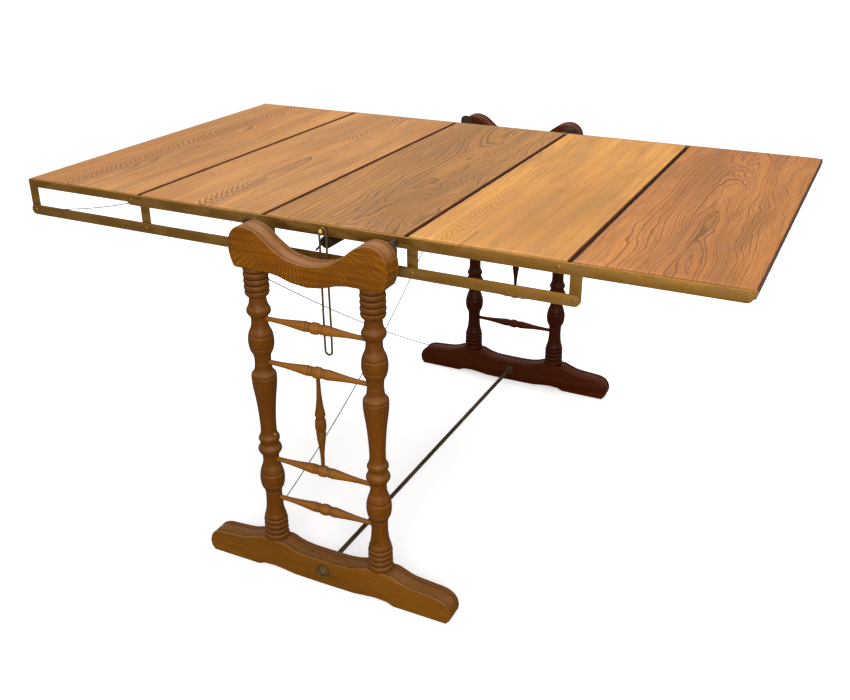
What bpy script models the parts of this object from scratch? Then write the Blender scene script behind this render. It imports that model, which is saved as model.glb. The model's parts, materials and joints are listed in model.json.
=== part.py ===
"""Folding shelf table: five boards ride level on two pairs of brass rails between two turned trestles.

The rails form a parallelogram. Turned a quarter turn about the fixed middle board, they stand upright and
the table top becomes a stack of five shelves. Units are metres, +Z is up and +X runs along the rails.
"""

import math

import bmesh
import bpy
from mathutils import Matrix, Vector

# Driving sizes
TOP_HEIGHT = 0.740
BOARD_COUNT = 5
BOARD_WIDTH = 0.294
BOARD_SPACE = 0.005
BOARD_THICKNESS = 0.017
TABLE_DEPTH = 0.880
BRASS_THICKNESS = 0.003
RAIL_HEIGHT = 0.021
RAIL_PLAY = 0.0005
TOUCH_GAP = 0.0003

UPPER_PIN_HEIGHT = 0.7285
LOWER_PIN_HEIGHT = 0.674
UPPER_PIN_INSET = 0.015
RIVET_RADIUS = 0.0025
RIVET_HEAD_RADIUS = 0.0045
RIVET_HEAD_HEIGHT = 0.0008
RIVET_HOLE_RADIUS = 0.0027
STUD_RADIUS = 0.004
STUD_HOLE_RADIUS = 0.0042
SHOULDER_RADIUS = 0.006
# The pivot plates' corners, (x, z) low and high
UPPER_PLATE = ((0.1190, 0.7000), (0.1595, 0.7440))
LOWER_PLATE = ((-0.1595, 0.6620), (-0.1290, 0.7475))

TRESTLE_OFFSET = 0.510
TRESTLE_THICKNESS = 0.044
POST_OFFSET = 0.1225
POST_SEAT = 0.072
YOKE_SEAT = 0.668
TENON_RADIUS = 0.010
TENON_LENGTH = 0.024
MORTISE_RADIUS = TENON_RADIUS + TOUCH_GAP
MORTISE_CUT = 2 * TENON_LENGTH + 0.004
SPINDLE_HEIGHTS = (0.565, 0.475, 0.260, 0.170)
SPINDLE_TENON_RADIUS = 0.004
SPINDLE_TENON_LENGTH = 0.008
POST_NECK_RADIUS = 0.016
POST_SIDES = 10
SPINDLE_SIDES = 8
RIVET_SIDES = 8

ROD_HEIGHT = 0.036
ROD_RADIUS = 0.005
NUT_RADIUS = 0.014
NUT_DEPTH = 0.010

LATCH_X = -0.018
LATCH_Z = 0.702
LATCH_RADIUS = 0.012
LATCH_HALF_LENGTH = 0.431
HOOK_WIRE_RADIUS = 0.002
SADDLE_OFFSET = 0.300
BALL_PIN_X = -0.0155
SHANK_RADIUS = 0.0025
SHANK_LENGTH = 0.0048
WASHER_RADIUS = 0.004
WASHER_THICKNESS = 0.0008
LOOP_LENGTH = 0.2555
LOOP_HALF_WIDTH = 0.0075
LOOP_WIRE_RADIUS = 0.0022
WIRE_RADIUS = 0.001
EYE_RING_RADIUS = 0.0045
EYE_WIRE_RADIUS = 0.0011

# Sizes that follow from them
BOARD_PITCH = BOARD_WIDTH + BOARD_SPACE
BOARD_BOTTOM = TOP_HEIGHT - BOARD_THICKNESS
HALF_BOARD = BOARD_WIDTH / 2
UPPER_PIN_X = HALF_BOARD - UPPER_PIN_INSET
LOWER_PIN_X = RAIL_HEIGHT / 2 - HALF_BOARD
RAIL_OUTER = TABLE_DEPTH / 2
RAIL_INNER = RAIL_OUTER - BRASS_THICKNESS
BRACKET_OUTER = RAIL_INNER - RAIL_PLAY
BRACKET_INNER = BRACKET_OUTER - BRASS_THICKNESS
BOARD_END = BRACKET_INNER - TOUCH_GAP
TRESTLE_INNER = TRESTLE_OFFSET - TRESTLE_THICKNESS / 2
TRESTLE_OUTER = TRESTLE_OFFSET + TRESTLE_THICKNESS / 2
MIDDLE_BOARD = BOARD_COUNT // 2
SIDES = {"front": -1, "back": 1}

# Turned shapes: (height reached, radius reached, bulge of the stretch), in millimetres from the bottom up
POST_FOOT_RADIUS = 24.4
POST_STRETCHES = (
    (13, 23.4, 1.6), (25, 23.2, 1.4), (37, 23.2, 1.3), (48, 23.2, 1.2), (58, 20.6, 0.0),
    (76, 17.4, 0.0), (108, 16.4, 0.0), (117, 17.8, 0.0), (125, 22.4, 0.0), (160, 22.6, 2.4),
    (176, 17.4, 0.0), (184, 16.0, 0.0), (195, 16.2, 0.0), (203, 20.6, 0.0), (217, 21.4, 2.6),
    (223, 18.3, 0.0), (227, 18.2, 0.0), (241, 18.4, 2.7), (249, 15.9, 0.0), (262, 15.6, 0.0),
    (300, 17.6, 0.0), (340, 22.1, 0.0), (364, 24.5, 0.0), (375, 24.2, 0.0), (380, 20.6, 0.0),
    (389, 17.0, 0.0), (409, 15.9, 0.0), (420, 18.2, 0.0), (428, 22.4, 0.0), (463, 22.6, 2.4),
    (472, 18.6, 0.0), (491, 15.6, 0.0), (498, 17.8, 0.0), (503, 22.0, 0.0), (513, 22.0, 1.1),
    (524, 17.4, 0.0), (535, 16.0, 0.0), (540, 21.0, 0.0), (550, 22.4, 1.8), (562, 22.2, 1.0),
    (574, 22.2, 1.0), (586, 22.2, 1.0), (596, 22.4, 0.0),
)
# From the middle of a cross spindle to its end, mirrored about the middle
SPINDLE_HALF = (
    (0, 11.7), (6, 11.2), (11, 9.2), (12, 8.2), (15, 10.0), (18, 8.6), (20, 10.3), (45, 8.4), (80, 5.2),
)
SPINDLE_END_RADIUS = 4.7
# From the lower end of the upright spindle to its upper end
UPRIGHT_SPINDLE = (
    (0, 3.8), (28, 4.4), (64, 8.6), (70, 8.8), (73, 9.9), (77, 8.4), (82, 10.2), (93, 11.0),
    (106, 9.6), (110, 8.4), (116, 10.2), (122, 8.8), (150, 5.4), (192, 3.8),
)

# The hook's centre line, seen from the latch bar's axis: (x, distance from the table's middle, z)
HOOK_ROUTE = (
    (0.0, 0.4260, 0.0030), (0.0, 0.4350, 0.0035), (-0.0030, 0.4385, 0.0010), (-0.0095, 0.4392, -0.0070),
    (-0.0165, 0.4385, -0.0145),
)

# Half outlines of the trestle's two sawn pieces, from the middle outwards
YOKE_TOP = (
    (0.0, 0.6930), (0.020, 0.6945), (0.046, 0.7010), (0.073, 0.7180), (0.094, 0.7350), (0.110, 0.7440),
    (0.128, 0.7475), (0.146, 0.7430), (0.159, 0.7290), (0.1640, 0.7080), (0.1610, 0.6850), (0.155, 0.6710),
)
YOKE_BOTTOM = ((0.150, YOKE_SEAT), (0.082, YOKE_SEAT), (0.060, 0.6645), (0.033, 0.6560), (0.0, 0.6520))
FOOT_TOP = (
    (0.0, 0.0580), (0.045, 0.0590), (0.072, 0.0635), (0.089, 0.0700), (0.097, POST_SEAT),
    (0.124, POST_SEAT), (0.151, POST_SEAT), (0.165, 0.0675), (0.190, 0.0590), (0.230, 0.0550),
    (0.258, 0.0520), (0.276, 0.0420), (0.284, 0.0240), (0.282, 0.0090),
)
FOOT_BOTTOM = (
    (0.274, 0.0), (0.160, 0.0), (0.145, 0.0065), (0.120, 0.0080), (0.095, 0.0055), (0.070, 0.0020),
    (0.0, 0.0015),
)

WOODS = {
    "trestle_oak": ((0.30, 0.14, 0.035), 0.45),
    "board_1_wood": ((0.46, 0.23, 0.09), 0.5),
    "board_2_wood": ((0.48, 0.25, 0.11), 0.5),
    "board_3_wood": ((0.34, 0.19, 0.08), 0.5),
    "board_4_wood": ((0.56, 0.28, 0.11), 0.5),
    "board_5_wood": ((0.38, 0.16, 0.06), 0.5),
}
METALS = {
    "aged_brass": ((0.40, 0.25, 0.07), 0.38),
    "dark_iron": ((0.05, 0.04, 0.03), 0.5),
    "steel_wire": ((0.35, 0.34, 0.33), 0.4),
    "dark_brass": ((0.16, 0.10, 0.04), 0.45),
}


def clear_scene():
    for obj in list(bpy.data.objects):
        bpy.data.objects.remove(obj, do_unlink=True)


def material(name):
    found = bpy.data.materials.get(name)
    if found:
        return found
    metal = name in METALS
    colour, roughness = METALS[name] if metal else WOODS[name]
    made = bpy.data.materials.new(name)
    made.use_nodes = True
    shader = made.node_tree.nodes["Principled BSDF"]
    shader.inputs["Base Color"].default_value = (*colour, 1.0)
    shader.inputs["Roughness"].default_value = roughness
    shader.inputs["Metallic"].default_value = 1.0 if metal else 0.0
    return made


def link(name, mesh, slot, location=(0, 0, 0), smooth=False):
    obj = bpy.data.objects.new(name, mesh)
    bpy.context.scene.collection.objects.link(obj)
    obj.location = location
    if slot:
        mesh.materials.clear()
        mesh.materials.append(material(slot))
    if smooth:
        mesh.shade_smooth()
        mesh.set_sharp_from_angle(angle=math.radians(40))
    return obj


def finished_mesh(name, bm):
    bmesh.ops.recalc_face_normals(bm, faces=bm.faces)
    mesh = bpy.data.meshes.new(name)
    bm.to_mesh(mesh)
    bm.free()
    return mesh


def lathe_mesh(name, profile, sides, axis="Z"):
    """A turned solid from (distance along the axis, radius) points."""
    bm = bmesh.new()
    rings = []
    for along, radius in profile:
        ring = []
        for step in range(sides):
            angle = math.tau * (step + 0.5) / sides
            ring.append(bm.verts.new((radius * math.cos(angle), radius * math.sin(angle), along)))
        rings.append(ring)
    for lower, upper in zip(rings, rings[1:]):
        for step in range(sides):
            after = (step + 1) % sides
            bm.faces.new((lower[step], lower[after], upper[after], upper[step]))
    bm.faces.new(rings[0][::-1])
    bm.faces.new(rings[-1])
    quarter = math.pi / 2
    turns = {"Z": Matrix(), "X": Matrix.Rotation(quarter, 4, "Y"), "Y": Matrix.Rotation(-quarter, 4, "X")}
    bmesh.ops.transform(bm, matrix=turns[axis], verts=bm.verts)
    return finished_mesh(name, bm)


def plate_mesh(name, outline, near, far):
    """An (x, z) outline, extruded along Y from near to far."""
    bm = bmesh.new()
    face = bm.faces.new([bm.verts.new((x, near, z)) for x, z in outline])
    made = bmesh.ops.extrude_face_region(bm, geom=[face])
    moved = [item for item in made["geom"] if isinstance(item, bmesh.types.BMVert)]
    bmesh.ops.translate(bm, vec=(0, far - near, 0), verts=moved)
    return finished_mesh(name, bm)


def box_mesh(name, low, high, bevel=0.0):
    bm = bmesh.new()
    bmesh.ops.create_cube(bm, size=1.0)
    low = Vector(low)
    high = Vector(high)
    bmesh.ops.scale(bm, vec=high - low, verts=bm.verts)
    bmesh.ops.translate(bm, vec=(low + high) / 2, verts=bm.verts)
    if bevel:
        bmesh.ops.bevel(bm, geom=list(bm.edges), offset=bevel, segments=1, affect="EDGES")
    return finished_mesh(name, bm)


def tube_mesh(name, path, radius, sides, closed=False):
    """A round wire along a path, with capped ends unless the path closes on itself."""
    bm = bmesh.new()
    points = [Vector(point) for point in path]
    count = len(points)
    rings = []
    across = None
    for index, point in enumerate(points):
        before = points[index - 1] if index or closed else point
        after = points[(index + 1) % count] if index < count - 1 or closed else point
        along = (after - before).normalized()
        if across is None:
            across = along.orthogonal().normalized()
        across = (across - along * across.dot(along)).normalized()
        other = along.cross(across)
        ring = []
        for step in range(sides):
            angle = math.tau * step / sides
            ring.append(bm.verts.new(point + radius * (math.cos(angle) * across + math.sin(angle) * other)))
        rings.append(ring)
    pairs = list(zip(rings, rings[1:]))
    if closed:
        pairs.append((rings[-1], rings[0]))
    for first, second in pairs:
        for step in range(sides):
            after = (step + 1) % sides
            bm.faces.new((first[step], first[after], second[after], second[step]))
    if not closed:
        bm.faces.new(rings[0][::-1])
        bm.faces.new(rings[-1])
    return finished_mesh(name, bm)


def helper(name, mesh, location=(0, 0, 0)):
    """A cutter or a piece to be joined on: it is never drawn."""
    obj = link(name, mesh, None, location)
    obj.hide_render = True
    obj.display_type = "WIRE"
    return obj


def boolean(obj, other, operation):
    modifier = obj.modifiers.new(other.name, "BOOLEAN")
    modifier.operation = operation
    modifier.solver = "EXACT"
    modifier.object = other
    return modifier


def drill(obj, name, centre, radius, length, axis, sides=12):
    """Cuts a round hole of this full length about its centre."""
    mesh = lathe_mesh(name, ((-length / 2, radius), (length / 2, radius)), sides, axis)
    boolean(obj, helper(name, mesh, centre), "DIFFERENCE")


def arc(centre, radius, start, end, steps):
    """Points on an arc in the XZ plane, angles in degrees."""
    points = []
    for step in range(steps + 1):
        angle = math.radians(start + (end - start) * step / steps)
        points.append((centre[0] + radius * math.cos(angle), centre[1] + radius * math.sin(angle)))
    return points


def between(a, b, c, d, t):
    """The value a fraction t of the way from b to c, on a smooth curve through all four."""
    bend = 2 * a - 5 * b + 4 * c - d
    twist = 3 * b - a - 3 * c + d
    return 0.5 * (2 * b + (c - a) * t + bend * t**2 + twist * t**3)


def through(points, steps):
    """A smooth line through 2-D points."""
    line = [points[0]]
    last = len(points) - 1
    for index in range(last):
        four = (points[max(index - 1, 0)], points[index], points[index + 1], points[min(index + 2, last)])
        for step in range(1, steps + 1):
            line.append(tuple(between(*values, step / steps) for values in zip(*four)))
    return line


def mirrored_outline(top, bottom, steps):
    """A closed outline, symmetric about x = 0, from half of its top and half of its underside."""
    half = through(top, steps) + list(bottom)
    inner = half[1:-1]
    return half + [(-x, z) for x, z in inner[::-1]]


def turned_profile(stretches, start_radius):
    """(height, radius) points in metres; a bulging stretch gets one extra point at its middle."""
    points = [(0.0, start_radius)]
    for height, radius, bulge in stretches:
        before, radius_before = points[-1]
        if bulge:
            points.append(((before + height) / 2, (radius_before + radius) / 2 + bulge))
        points.append((height, radius))
    return [(height / 1000, radius / 1000) for height, radius in points]


def make_post(side, end, sign_y, sign_x):
    name = f"{side}_{end}_post"
    turned = turned_profile(POST_STRETCHES, POST_FOOT_RADIUS)
    body = [(POST_SEAT + TOUCH_GAP + height, radius) for height, radius in turned]
    top = YOKE_SEAT - TOUCH_GAP
    body[-1] = (top, body[-1][1])
    profile = [(POST_SEAT - TENON_LENGTH, TENON_RADIUS), (body[0][0], TENON_RADIUS)]
    profile += body
    profile += [(top, TENON_RADIUS), (top + TENON_LENGTH, TENON_RADIUS)]
    centre = (sign_x * POST_OFFSET, sign_y * TRESTLE_OFFSET, 0)
    post = link(name, lathe_mesh(name, profile, POST_SIDES), "trestle_oak", centre, smooth=True)
    depth = SPINDLE_TENON_LENGTH + 2 * TOUCH_GAP
    for number, height in enumerate(SPINDLE_HEIGHTS, 1):
        inner = sign_x * (POST_OFFSET - POST_NECK_RADIUS)
        middle = (inner + sign_x * (depth / 2 - 0.002), centre[1], height)
        socket = f"{name}_socket_{number}"
        drill(post, socket, middle, SPINDLE_TENON_RADIUS + TOUCH_GAP, depth + 0.004, "X", SPINDLE_SIDES)


def make_cross_spindle(side, number, sign_y):
    name = f"{side}_cross_spindle_{number}"
    end = POST_OFFSET - POST_NECK_RADIUS - TOUCH_GAP - 0.0008
    half = [(x / 1000, radius / 1000) for x, radius in SPINDLE_HALF]
    half.append((end, SPINDLE_END_RADIUS / 1000))
    half.append((end, SPINDLE_TENON_RADIUS))
    half.append((end + SPINDLE_TENON_LENGTH, SPINDLE_TENON_RADIUS))
    profile = [(-x, radius) for x, radius in half[:0:-1]] + half
    centre = (0, sign_y * TRESTLE_OFFSET, SPINDLE_HEIGHTS[number - 1])
    link(name, lathe_mesh(name, profile, SPINDLE_SIDES, "X"), "trestle_oak", centre, smooth=True)


def make_upright_spindle(side, sign_y):
    name = f"{side}_upright_spindle"
    ball = SPINDLE_HALF[0][1] / 1000
    low = SPINDLE_HEIGHTS[2] + ball + TOUCH_GAP
    high = SPINDLE_HEIGHTS[1] - ball - TOUCH_GAP
    length = UPRIGHT_SPINDLE[-1][0] / 1000
    stretch = (high - low) / length
    profile = [(low + height / 1000 * stretch, radius / 1000) for height, radius in UPRIGHT_SPINDLE]
    mesh = lathe_mesh(name, profile, SPINDLE_SIDES)
    link(name, mesh, "trestle_oak", (0, sign_y * TRESTLE_OFFSET, 0), smooth=True)


def make_yoke(side, sign_y):
    name = f"{side}_yoke"
    outline = mirrored_outline(YOKE_TOP, YOKE_BOTTOM, 2)
    mesh = plate_mesh(name, outline, -TRESTLE_THICKNESS / 2, TRESTLE_THICKNESS / 2)
    yoke = link(name, mesh, "trestle_oak", (0, sign_y * TRESTLE_OFFSET, 0))
    for sign_x in (-1, 1):
        centre = (sign_x * POST_OFFSET, sign_y * TRESTLE_OFFSET, YOKE_SEAT)
        drill(yoke, f"{name}_mortise_{sign_x}", centre, MORTISE_RADIUS, MORTISE_CUT, "Z", POST_SIDES)


def make_foot(side, sign_y):
    name = f"{side}_foot"
    outline = [(x, min(z, POST_SEAT)) for x, z in mirrored_outline(FOOT_TOP, FOOT_BOTTOM, 2)]
    mesh = plate_mesh(name, outline, -TRESTLE_THICKNESS / 2, TRESTLE_THICKNESS / 2)
    foot = link(name, mesh, "trestle_oak", (0, sign_y * TRESTLE_OFFSET, 0))
    for sign_x in (-1, 1):
        centre = (sign_x * POST_OFFSET, sign_y * TRESTLE_OFFSET, POST_SEAT)
        drill(foot, f"{name}_mortise_{sign_x}", centre, MORTISE_RADIUS, MORTISE_CUT, "Z", POST_SIDES)
    centre = (0, sign_y * TRESTLE_OFFSET, ROD_HEIGHT)
    drill(foot, f"{name}_rod_hole", centre, ROD_RADIUS + TOUCH_GAP, 2 * TRESTLE_THICKNESS, "Y")


def make_stretcher():
    collar = 0.011
    collar_face = TRESTLE_INNER - TOUCH_GAP
    collar_back = collar_face - 0.004
    end = TRESTLE_OUTER + NUT_DEPTH / 2
    half = [(collar_back, ROD_RADIUS), (collar_back, collar), (collar_face, collar)]
    half += [(collar_face, ROD_RADIUS), (end, ROD_RADIUS)]
    profile = [(-y, radius) for y, radius in half[::-1]] + half
    mesh = lathe_mesh("stretcher_rod", profile, 12, "Y")
    link("stretcher_rod", mesh, "dark_iron", (0, 0, ROD_HEIGHT), smooth=True)
    for side, sign_y in SIDES.items():
        name = f"{side}_rod_nut"
        face = TRESTLE_OUTER + TOUCH_GAP
        outer = face + NUT_DEPTH
        profile = [
            (face, 0.012), (face + 0.002, NUT_RADIUS), (face + 0.006, NUT_RADIUS),
            (outer - 0.001, 0.009), (outer, 0.004),
        ]
        profile = [(sign_y * y, radius) for y, radius in profile]
        nut = link(name, lathe_mesh(name, profile, 16, "Y"), "dark_brass", (0, 0, ROD_HEIGHT), smooth=True)
        bore = 2 * (NUT_DEPTH / 2 + 2 * TOUCH_GAP)
        drill(nut, f"{name}_bore", (0, sign_y * face, ROD_HEIGHT), ROD_RADIUS + TOUCH_GAP, bore, "Y")


def board_centre(index):
    return (index - MIDDLE_BOARD) * BOARD_PITCH


def make_board(index):
    name = f"board_{index + 1}"
    low = (-UPPER_PIN_X - HALF_BOARD, -BOARD_END, BOARD_BOTTOM - UPPER_PIN_HEIGHT)
    high = (-UPPER_PIN_X + HALF_BOARD, BOARD_END, TOP_HEIGHT - UPPER_PIN_HEIGHT)
    pivot = (board_centre(index) + UPPER_PIN_X, 0, UPPER_PIN_HEIGHT)
    link(name, box_mesh(name, low, high, 0.0012), f"{name}_wood", pivot)


def bracket_outline():
    """An L in the XZ plane, seen from the upper pin: its arm covers the board's end and its leg hangs."""
    left = -UPPER_PIN_X - HALF_BOARD
    right = left + BOARD_WIDTH
    top = TOP_HEIGHT - 0.0015 - UPPER_PIN_HEIGHT
    bottom = BOARD_BOTTOM - 0.0005 - UPPER_PIN_HEIGHT
    leg = (left + RAIL_HEIGHT / 2, LOWER_PIN_HEIGHT - UPPER_PIN_HEIGHT)
    outline = [(right, bottom), (right, top), (left, top)]
    outline += arc(leg, RAIL_HEIGHT / 2, 180, 360, 6)
    outline.append((left + RAIL_HEIGHT, bottom))
    return outline


def make_bracket(side, sign_y, index):
    name = f"{side}_bracket_{index + 1}"
    near, far = sorted((sign_y * BRACKET_INNER, sign_y * BRACKET_OUTER))
    pivot = (board_centre(index) + UPPER_PIN_X, 0, UPPER_PIN_HEIGHT)
    bracket = link(name, plate_mesh(name, bracket_outline(), near, far), "aged_brass", pivot)
    hole = STUD_HOLE_RADIUS if index == MIDDLE_BOARD else RIVET_HOLE_RADIUS
    middle = sign_y * (BRACKET_INNER + BRACKET_OUTER) / 2
    upper = (pivot[0], middle, UPPER_PIN_HEIGHT)
    lower = (board_centre(index) + LOWER_PIN_X, middle, LOWER_PIN_HEIGHT)
    drill(bracket, f"{name}_upper_hole", upper, hole, 0.01, "Y")
    drill(bracket, f"{name}_lower_hole", lower, hole, 0.01, "Y")


def make_rail(side, sign_y, level, pin_x, pin_height):
    """A flat bar with round ends; its rivets are part of it, and its middle hole turns on the stud."""
    name = f"{side}_{level}_rail"
    pins = [board_centre(index) + pin_x for index in range(BOARD_COUNT)]
    middle = pins[MIDDLE_BOARD]
    reach = pins[-1] - middle
    radius = RAIL_HEIGHT / 2
    outline = arc((reach, 0), radius, -90, 90, 6) + arc((-reach, 0), radius, 90, 270, 6)
    near, far = sorted((sign_y * RAIL_INNER, sign_y * RAIL_OUTER))
    rail = link(name, plate_mesh(name, outline, near, far), "aged_brass", (middle, 0, pin_height))
    tip = BRACKET_INNER + 0.0002
    face = RAIL_OUTER + RIVET_HEAD_HEIGHT
    sunk = RAIL_OUTER - 0.0004
    profile = [(tip, RIVET_RADIUS), (sunk, RIVET_RADIUS), (sunk, RIVET_HEAD_RADIUS)]
    profile += [(RAIL_OUTER + 0.0003, RIVET_HEAD_RADIUS), (face, RIVET_HEAD_RADIUS - 0.001)]
    profile = [(sign_y * y, value) for y, value in profile]
    for index, x in enumerate(pins):
        if index == MIDDLE_BOARD:
            continue
        rivet = lathe_mesh(f"{name}_rivet", profile, RIVET_SIDES, "Y")
        boolean(rail, helper(f"{name}_rivet_{index + 1}", rivet, (x, 0, pin_height)), "UNION")
    centre = (middle, sign_y * (RAIL_INNER + RAIL_OUTER) / 2, pin_height)
    drill(rail, f"{name}_stud_hole", centre, STUD_HOLE_RADIUS, 0.01, "Y")
    return rail


def make_pivot_plate(side, sign_y, level, stud_at, corners):
    """A brass plate on the yoke's inner face, with a shouldered stud out to the rail and the bracket."""
    name = f"{side}_{level}_pivot_plate"
    face = TRESTLE_INNER - TOUCH_GAP
    back = face - 0.002
    low, high = corners
    mesh = box_mesh(name, (low[0], sign_y * face, low[1]), (high[0], sign_y * back, high[1]))
    plate = link(name, mesh, "aged_brass")
    shoulder = RAIL_OUTER + 2 * TOUCH_GAP
    tip = BRACKET_INNER + TOUCH_GAP
    profile = [(back + 0.001, SHOULDER_RADIUS), (shoulder, SHOULDER_RADIUS)]
    profile += [(shoulder, STUD_RADIUS), (tip, STUD_RADIUS)]
    profile = [(sign_y * y, radius) for y, radius in profile]
    stud = lathe_mesh(f"{name}_stud", profile, 12, "Y")
    boolean(plate, helper(f"{name}_stud", stud, (stud_at[0], 0, stud_at[1])), "UNION")


def make_ball_pin(side, sign_y, rail):
    """A pin with a ball end, riveted through the upper rail, that carries the keeper loop."""
    name = f"{side}_ball_pin"
    ball = 0.005
    shank = SHANK_RADIUS
    tail = 0.0015
    face = RAIL_OUTER + TOUCH_GAP
    washer = face + WASHER_THICKNESS
    ball_start = washer + SHANK_LENGTH
    profile = [(RAIL_INNER + TOUCH_GAP, tail), (face, tail), (face, WASHER_RADIUS), (washer, WASHER_RADIUS)]
    profile += [(washer, shank), (ball_start, shank)]
    for step in range(1, 6):
        angle = math.pi * (0.17 + 0.78 * step / 5)
        profile.append((ball_start + ball - ball * math.cos(angle), ball * math.sin(angle)))
    profile = [(sign_y * y, radius) for y, radius in profile]
    centre = (BALL_PIN_X, 0, UPPER_PIN_HEIGHT)
    link(name, lathe_mesh(name, profile, 12, "Y"), "aged_brass", centre, smooth=True)
    middle = (BALL_PIN_X, sign_y * (RAIL_INNER + RAIL_OUTER) / 2, UPPER_PIN_HEIGHT)
    drill(rail, f"{name}_hole", middle, tail + TOUCH_GAP, 0.01, "Y", 8)


def make_keeper_loop(side, sign_y):
    """A long closed wire loop, hanging free on the ball pin's shank."""
    name = f"{side}_keeper_loop"
    lift = LOOP_HALF_WIDTH - LOOP_WIRE_RADIUS - SHANK_RADIUS - TOUCH_GAP
    top = -lift
    bottom = top + 2 * LOOP_HALF_WIDTH + LOOP_WIRE_RADIUS - LOOP_LENGTH
    outline = arc((0, top), LOOP_HALF_WIDTH, 0, 180, 8) + arc((0, bottom), LOOP_HALF_WIDTH, 180, 360, 8)
    plane = sign_y * (RAIL_OUTER + TOUCH_GAP + WASHER_THICKNESS + SHANK_LENGTH / 2)
    path = [(x, plane, z) for x, z in outline]
    mesh = tube_mesh(name, path, LOOP_WIRE_RADIUS, 8, closed=True)
    link(name, mesh, "dark_brass", (BALL_PIN_X, 0, UPPER_PIN_HEIGHT), smooth=True)


def make_latch():
    """A round bar under the middle board, with a bent wire hook across each end."""
    profile = [(-LATCH_HALF_LENGTH, LATCH_RADIUS), (LATCH_HALF_LENGTH, LATCH_RADIUS)]
    centre = (LATCH_X, 0, LATCH_Z)
    latch = link("latch_bar", lathe_mesh("latch_bar", profile, 16, "Y"), "dark_iron", centre, smooth=True)
    for side, sign_y in SIDES.items():
        path = [(x, sign_y * y, z) for x, y, z in HOOK_ROUTE]
        mesh = tube_mesh(f"{side}_hook", path, HOOK_WIRE_RADIUS, 8)
        boolean(latch, helper(f"{side}_hook", mesh, centre), "UNION")
        make_saddle(side, sign_y)


def make_saddle(side, sign_y):
    """A strap round the latch bar, flanged to the underside of the middle board."""
    name = f"{side}_latch_saddle"
    inner = LATCH_RADIUS + 2 * TOUCH_GAP
    outer = inner + 0.0025
    top = BOARD_BOTTOM - TOUCH_GAP - LATCH_Z
    flange = top - 0.0025
    outline = [(inner, top), (0.028, top), (0.028, flange), (outer, flange)]
    outline += arc((0, 0), outer, 360, 180, 10)
    outline += [(-outer, flange), (-0.028, flange), (-0.028, top), (-inner, top)]
    outline += arc((0, 0), inner, 180, 360, 10)
    near, far = sorted((sign_y * (SADDLE_OFFSET - 0.008), sign_y * (SADDLE_OFFSET + 0.008)))
    link(name, plate_mesh(name, outline, near, far), "dark_iron", (LATCH_X, 0, LATCH_Z))


def make_batten():
    """A cross batten that keeps the middle board flat."""
    top = BOARD_BOTTOM - TOUCH_GAP
    low = (-0.116, -0.424, top - 0.011)
    high = (-0.090, 0.424, top)
    link("board_3_batten", box_mesh("board_3_batten", low, high, 0.001), "board_3_wood")


def eye_path(shank, bend_from):
    """A shank down the Z axis, then a ring about the origin that stops just short of closing."""
    ring = [(x, 0, z) for x, z in arc((0, 0), EYE_RING_RADIUS, 90, 90 - 322, 11)]
    return [(0, 0, shank), (0, 0, bend_from)] + ring[1:]


def make_screw_eye(name, centre, turn, host):
    """An eye screwed into a face of the host; turn is the rotation from a shank that points up."""
    shank = 0.019
    path = eye_path(shank, EYE_RING_RADIUS)
    mesh = tube_mesh(name, path, EYE_WIRE_RADIUS, 6)
    mesh.transform(turn)
    link(name, mesh, "steel_wire", centre, smooth=True)
    direction = turn @ Vector((0, 0, 1))
    hole_length = 0.014
    middle = Vector(centre) + direction * (shank + 2 * TOUCH_GAP - hole_length / 2)
    axis = "Z" if abs(direction.z) > 0.5 else "Y"
    drill(bpy.data.objects[host], f"{name}_hole", middle, EYE_WIRE_RADIUS + TOUCH_GAP, hole_length, axis, 8)


def make_wire(name, points, slot="steel_wire", radius=WIRE_RADIUS):
    """A slack wire: a curve object through a smooth row of points."""
    curve = bpy.data.curves.new(name, "CURVE")
    curve.dimensions = "3D"
    spline = curve.splines.new("POLY")
    spline.points.add(len(points) - 1)
    for place, point in zip(spline.points, points):
        place.co = (*point, 1.0)
    curve.bevel_depth = radius
    curve.bevel_resolution = 2
    curve.use_fill_caps = True
    obj = bpy.data.objects.new(name, curve)
    bpy.context.scene.collection.objects.link(obj)
    curve.materials.append(material(slot))


def sagging(start, end, sag, steps):
    """Points from start to end that hang below the straight line by sag at the middle."""
    points = []
    for step in range(steps + 1):
        t = step / steps
        point = Vector(start).lerp(Vector(end), t)
        point.z -= 4 * sag * t * (1 - t)
        points.append(tuple(point))
    return points


def make_brace_wires():
    top_x = -0.152
    top_z = 0.6555
    low_z = 0.062
    braces = (("front", -1, "back", -0.240, 0.016), ("back", 1, "front", -0.170, 0.074))
    for number, (top_side, sign_y, low_side, low_x, sag) in enumerate(braces, 1):
        top = (top_x, sign_y * 0.500, top_z)
        low = (low_x, -sign_y * (TRESTLE_INNER - 0.0095), low_z)
        make_screw_eye(f"brace_eye_{number}_top", top, Matrix(), f"{top_side}_yoke")
        towards_foot = Matrix.Rotation(sign_y * math.pi / 2, 4, "X")
        make_screw_eye(f"brace_eye_{number}_low", low, towards_foot, f"{low_side}_foot")
        above = (low[0], low[1], low[2] + 0.003)
        tail = (low[0], low[1], low[2] - 0.003)
        make_wire(f"brace_wire_{number}", sagging(top, above, sag, 22) + [tail])


def make_stay_wire():
    """The short wire across the first bay, from the arm's far end to the foot of the hanging leg."""
    plane = -(BRACKET_INNER + BRACKET_OUTER) / 2
    arm_end = board_centre(0) + UPPER_PIN_X - 0.004
    leg_foot = board_centre(0) - HALF_BOARD + RAIL_HEIGHT + 0.0015
    start = (arm_end, plane, BOARD_BOTTOM - 0.0005 - 0.0015)
    end = (leg_foot, plane, LOWER_PIN_HEIGHT + 0.002)
    make_wire("stay_wire", sagging(start, end, 0.006, 12), radius=0.0008)


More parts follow.
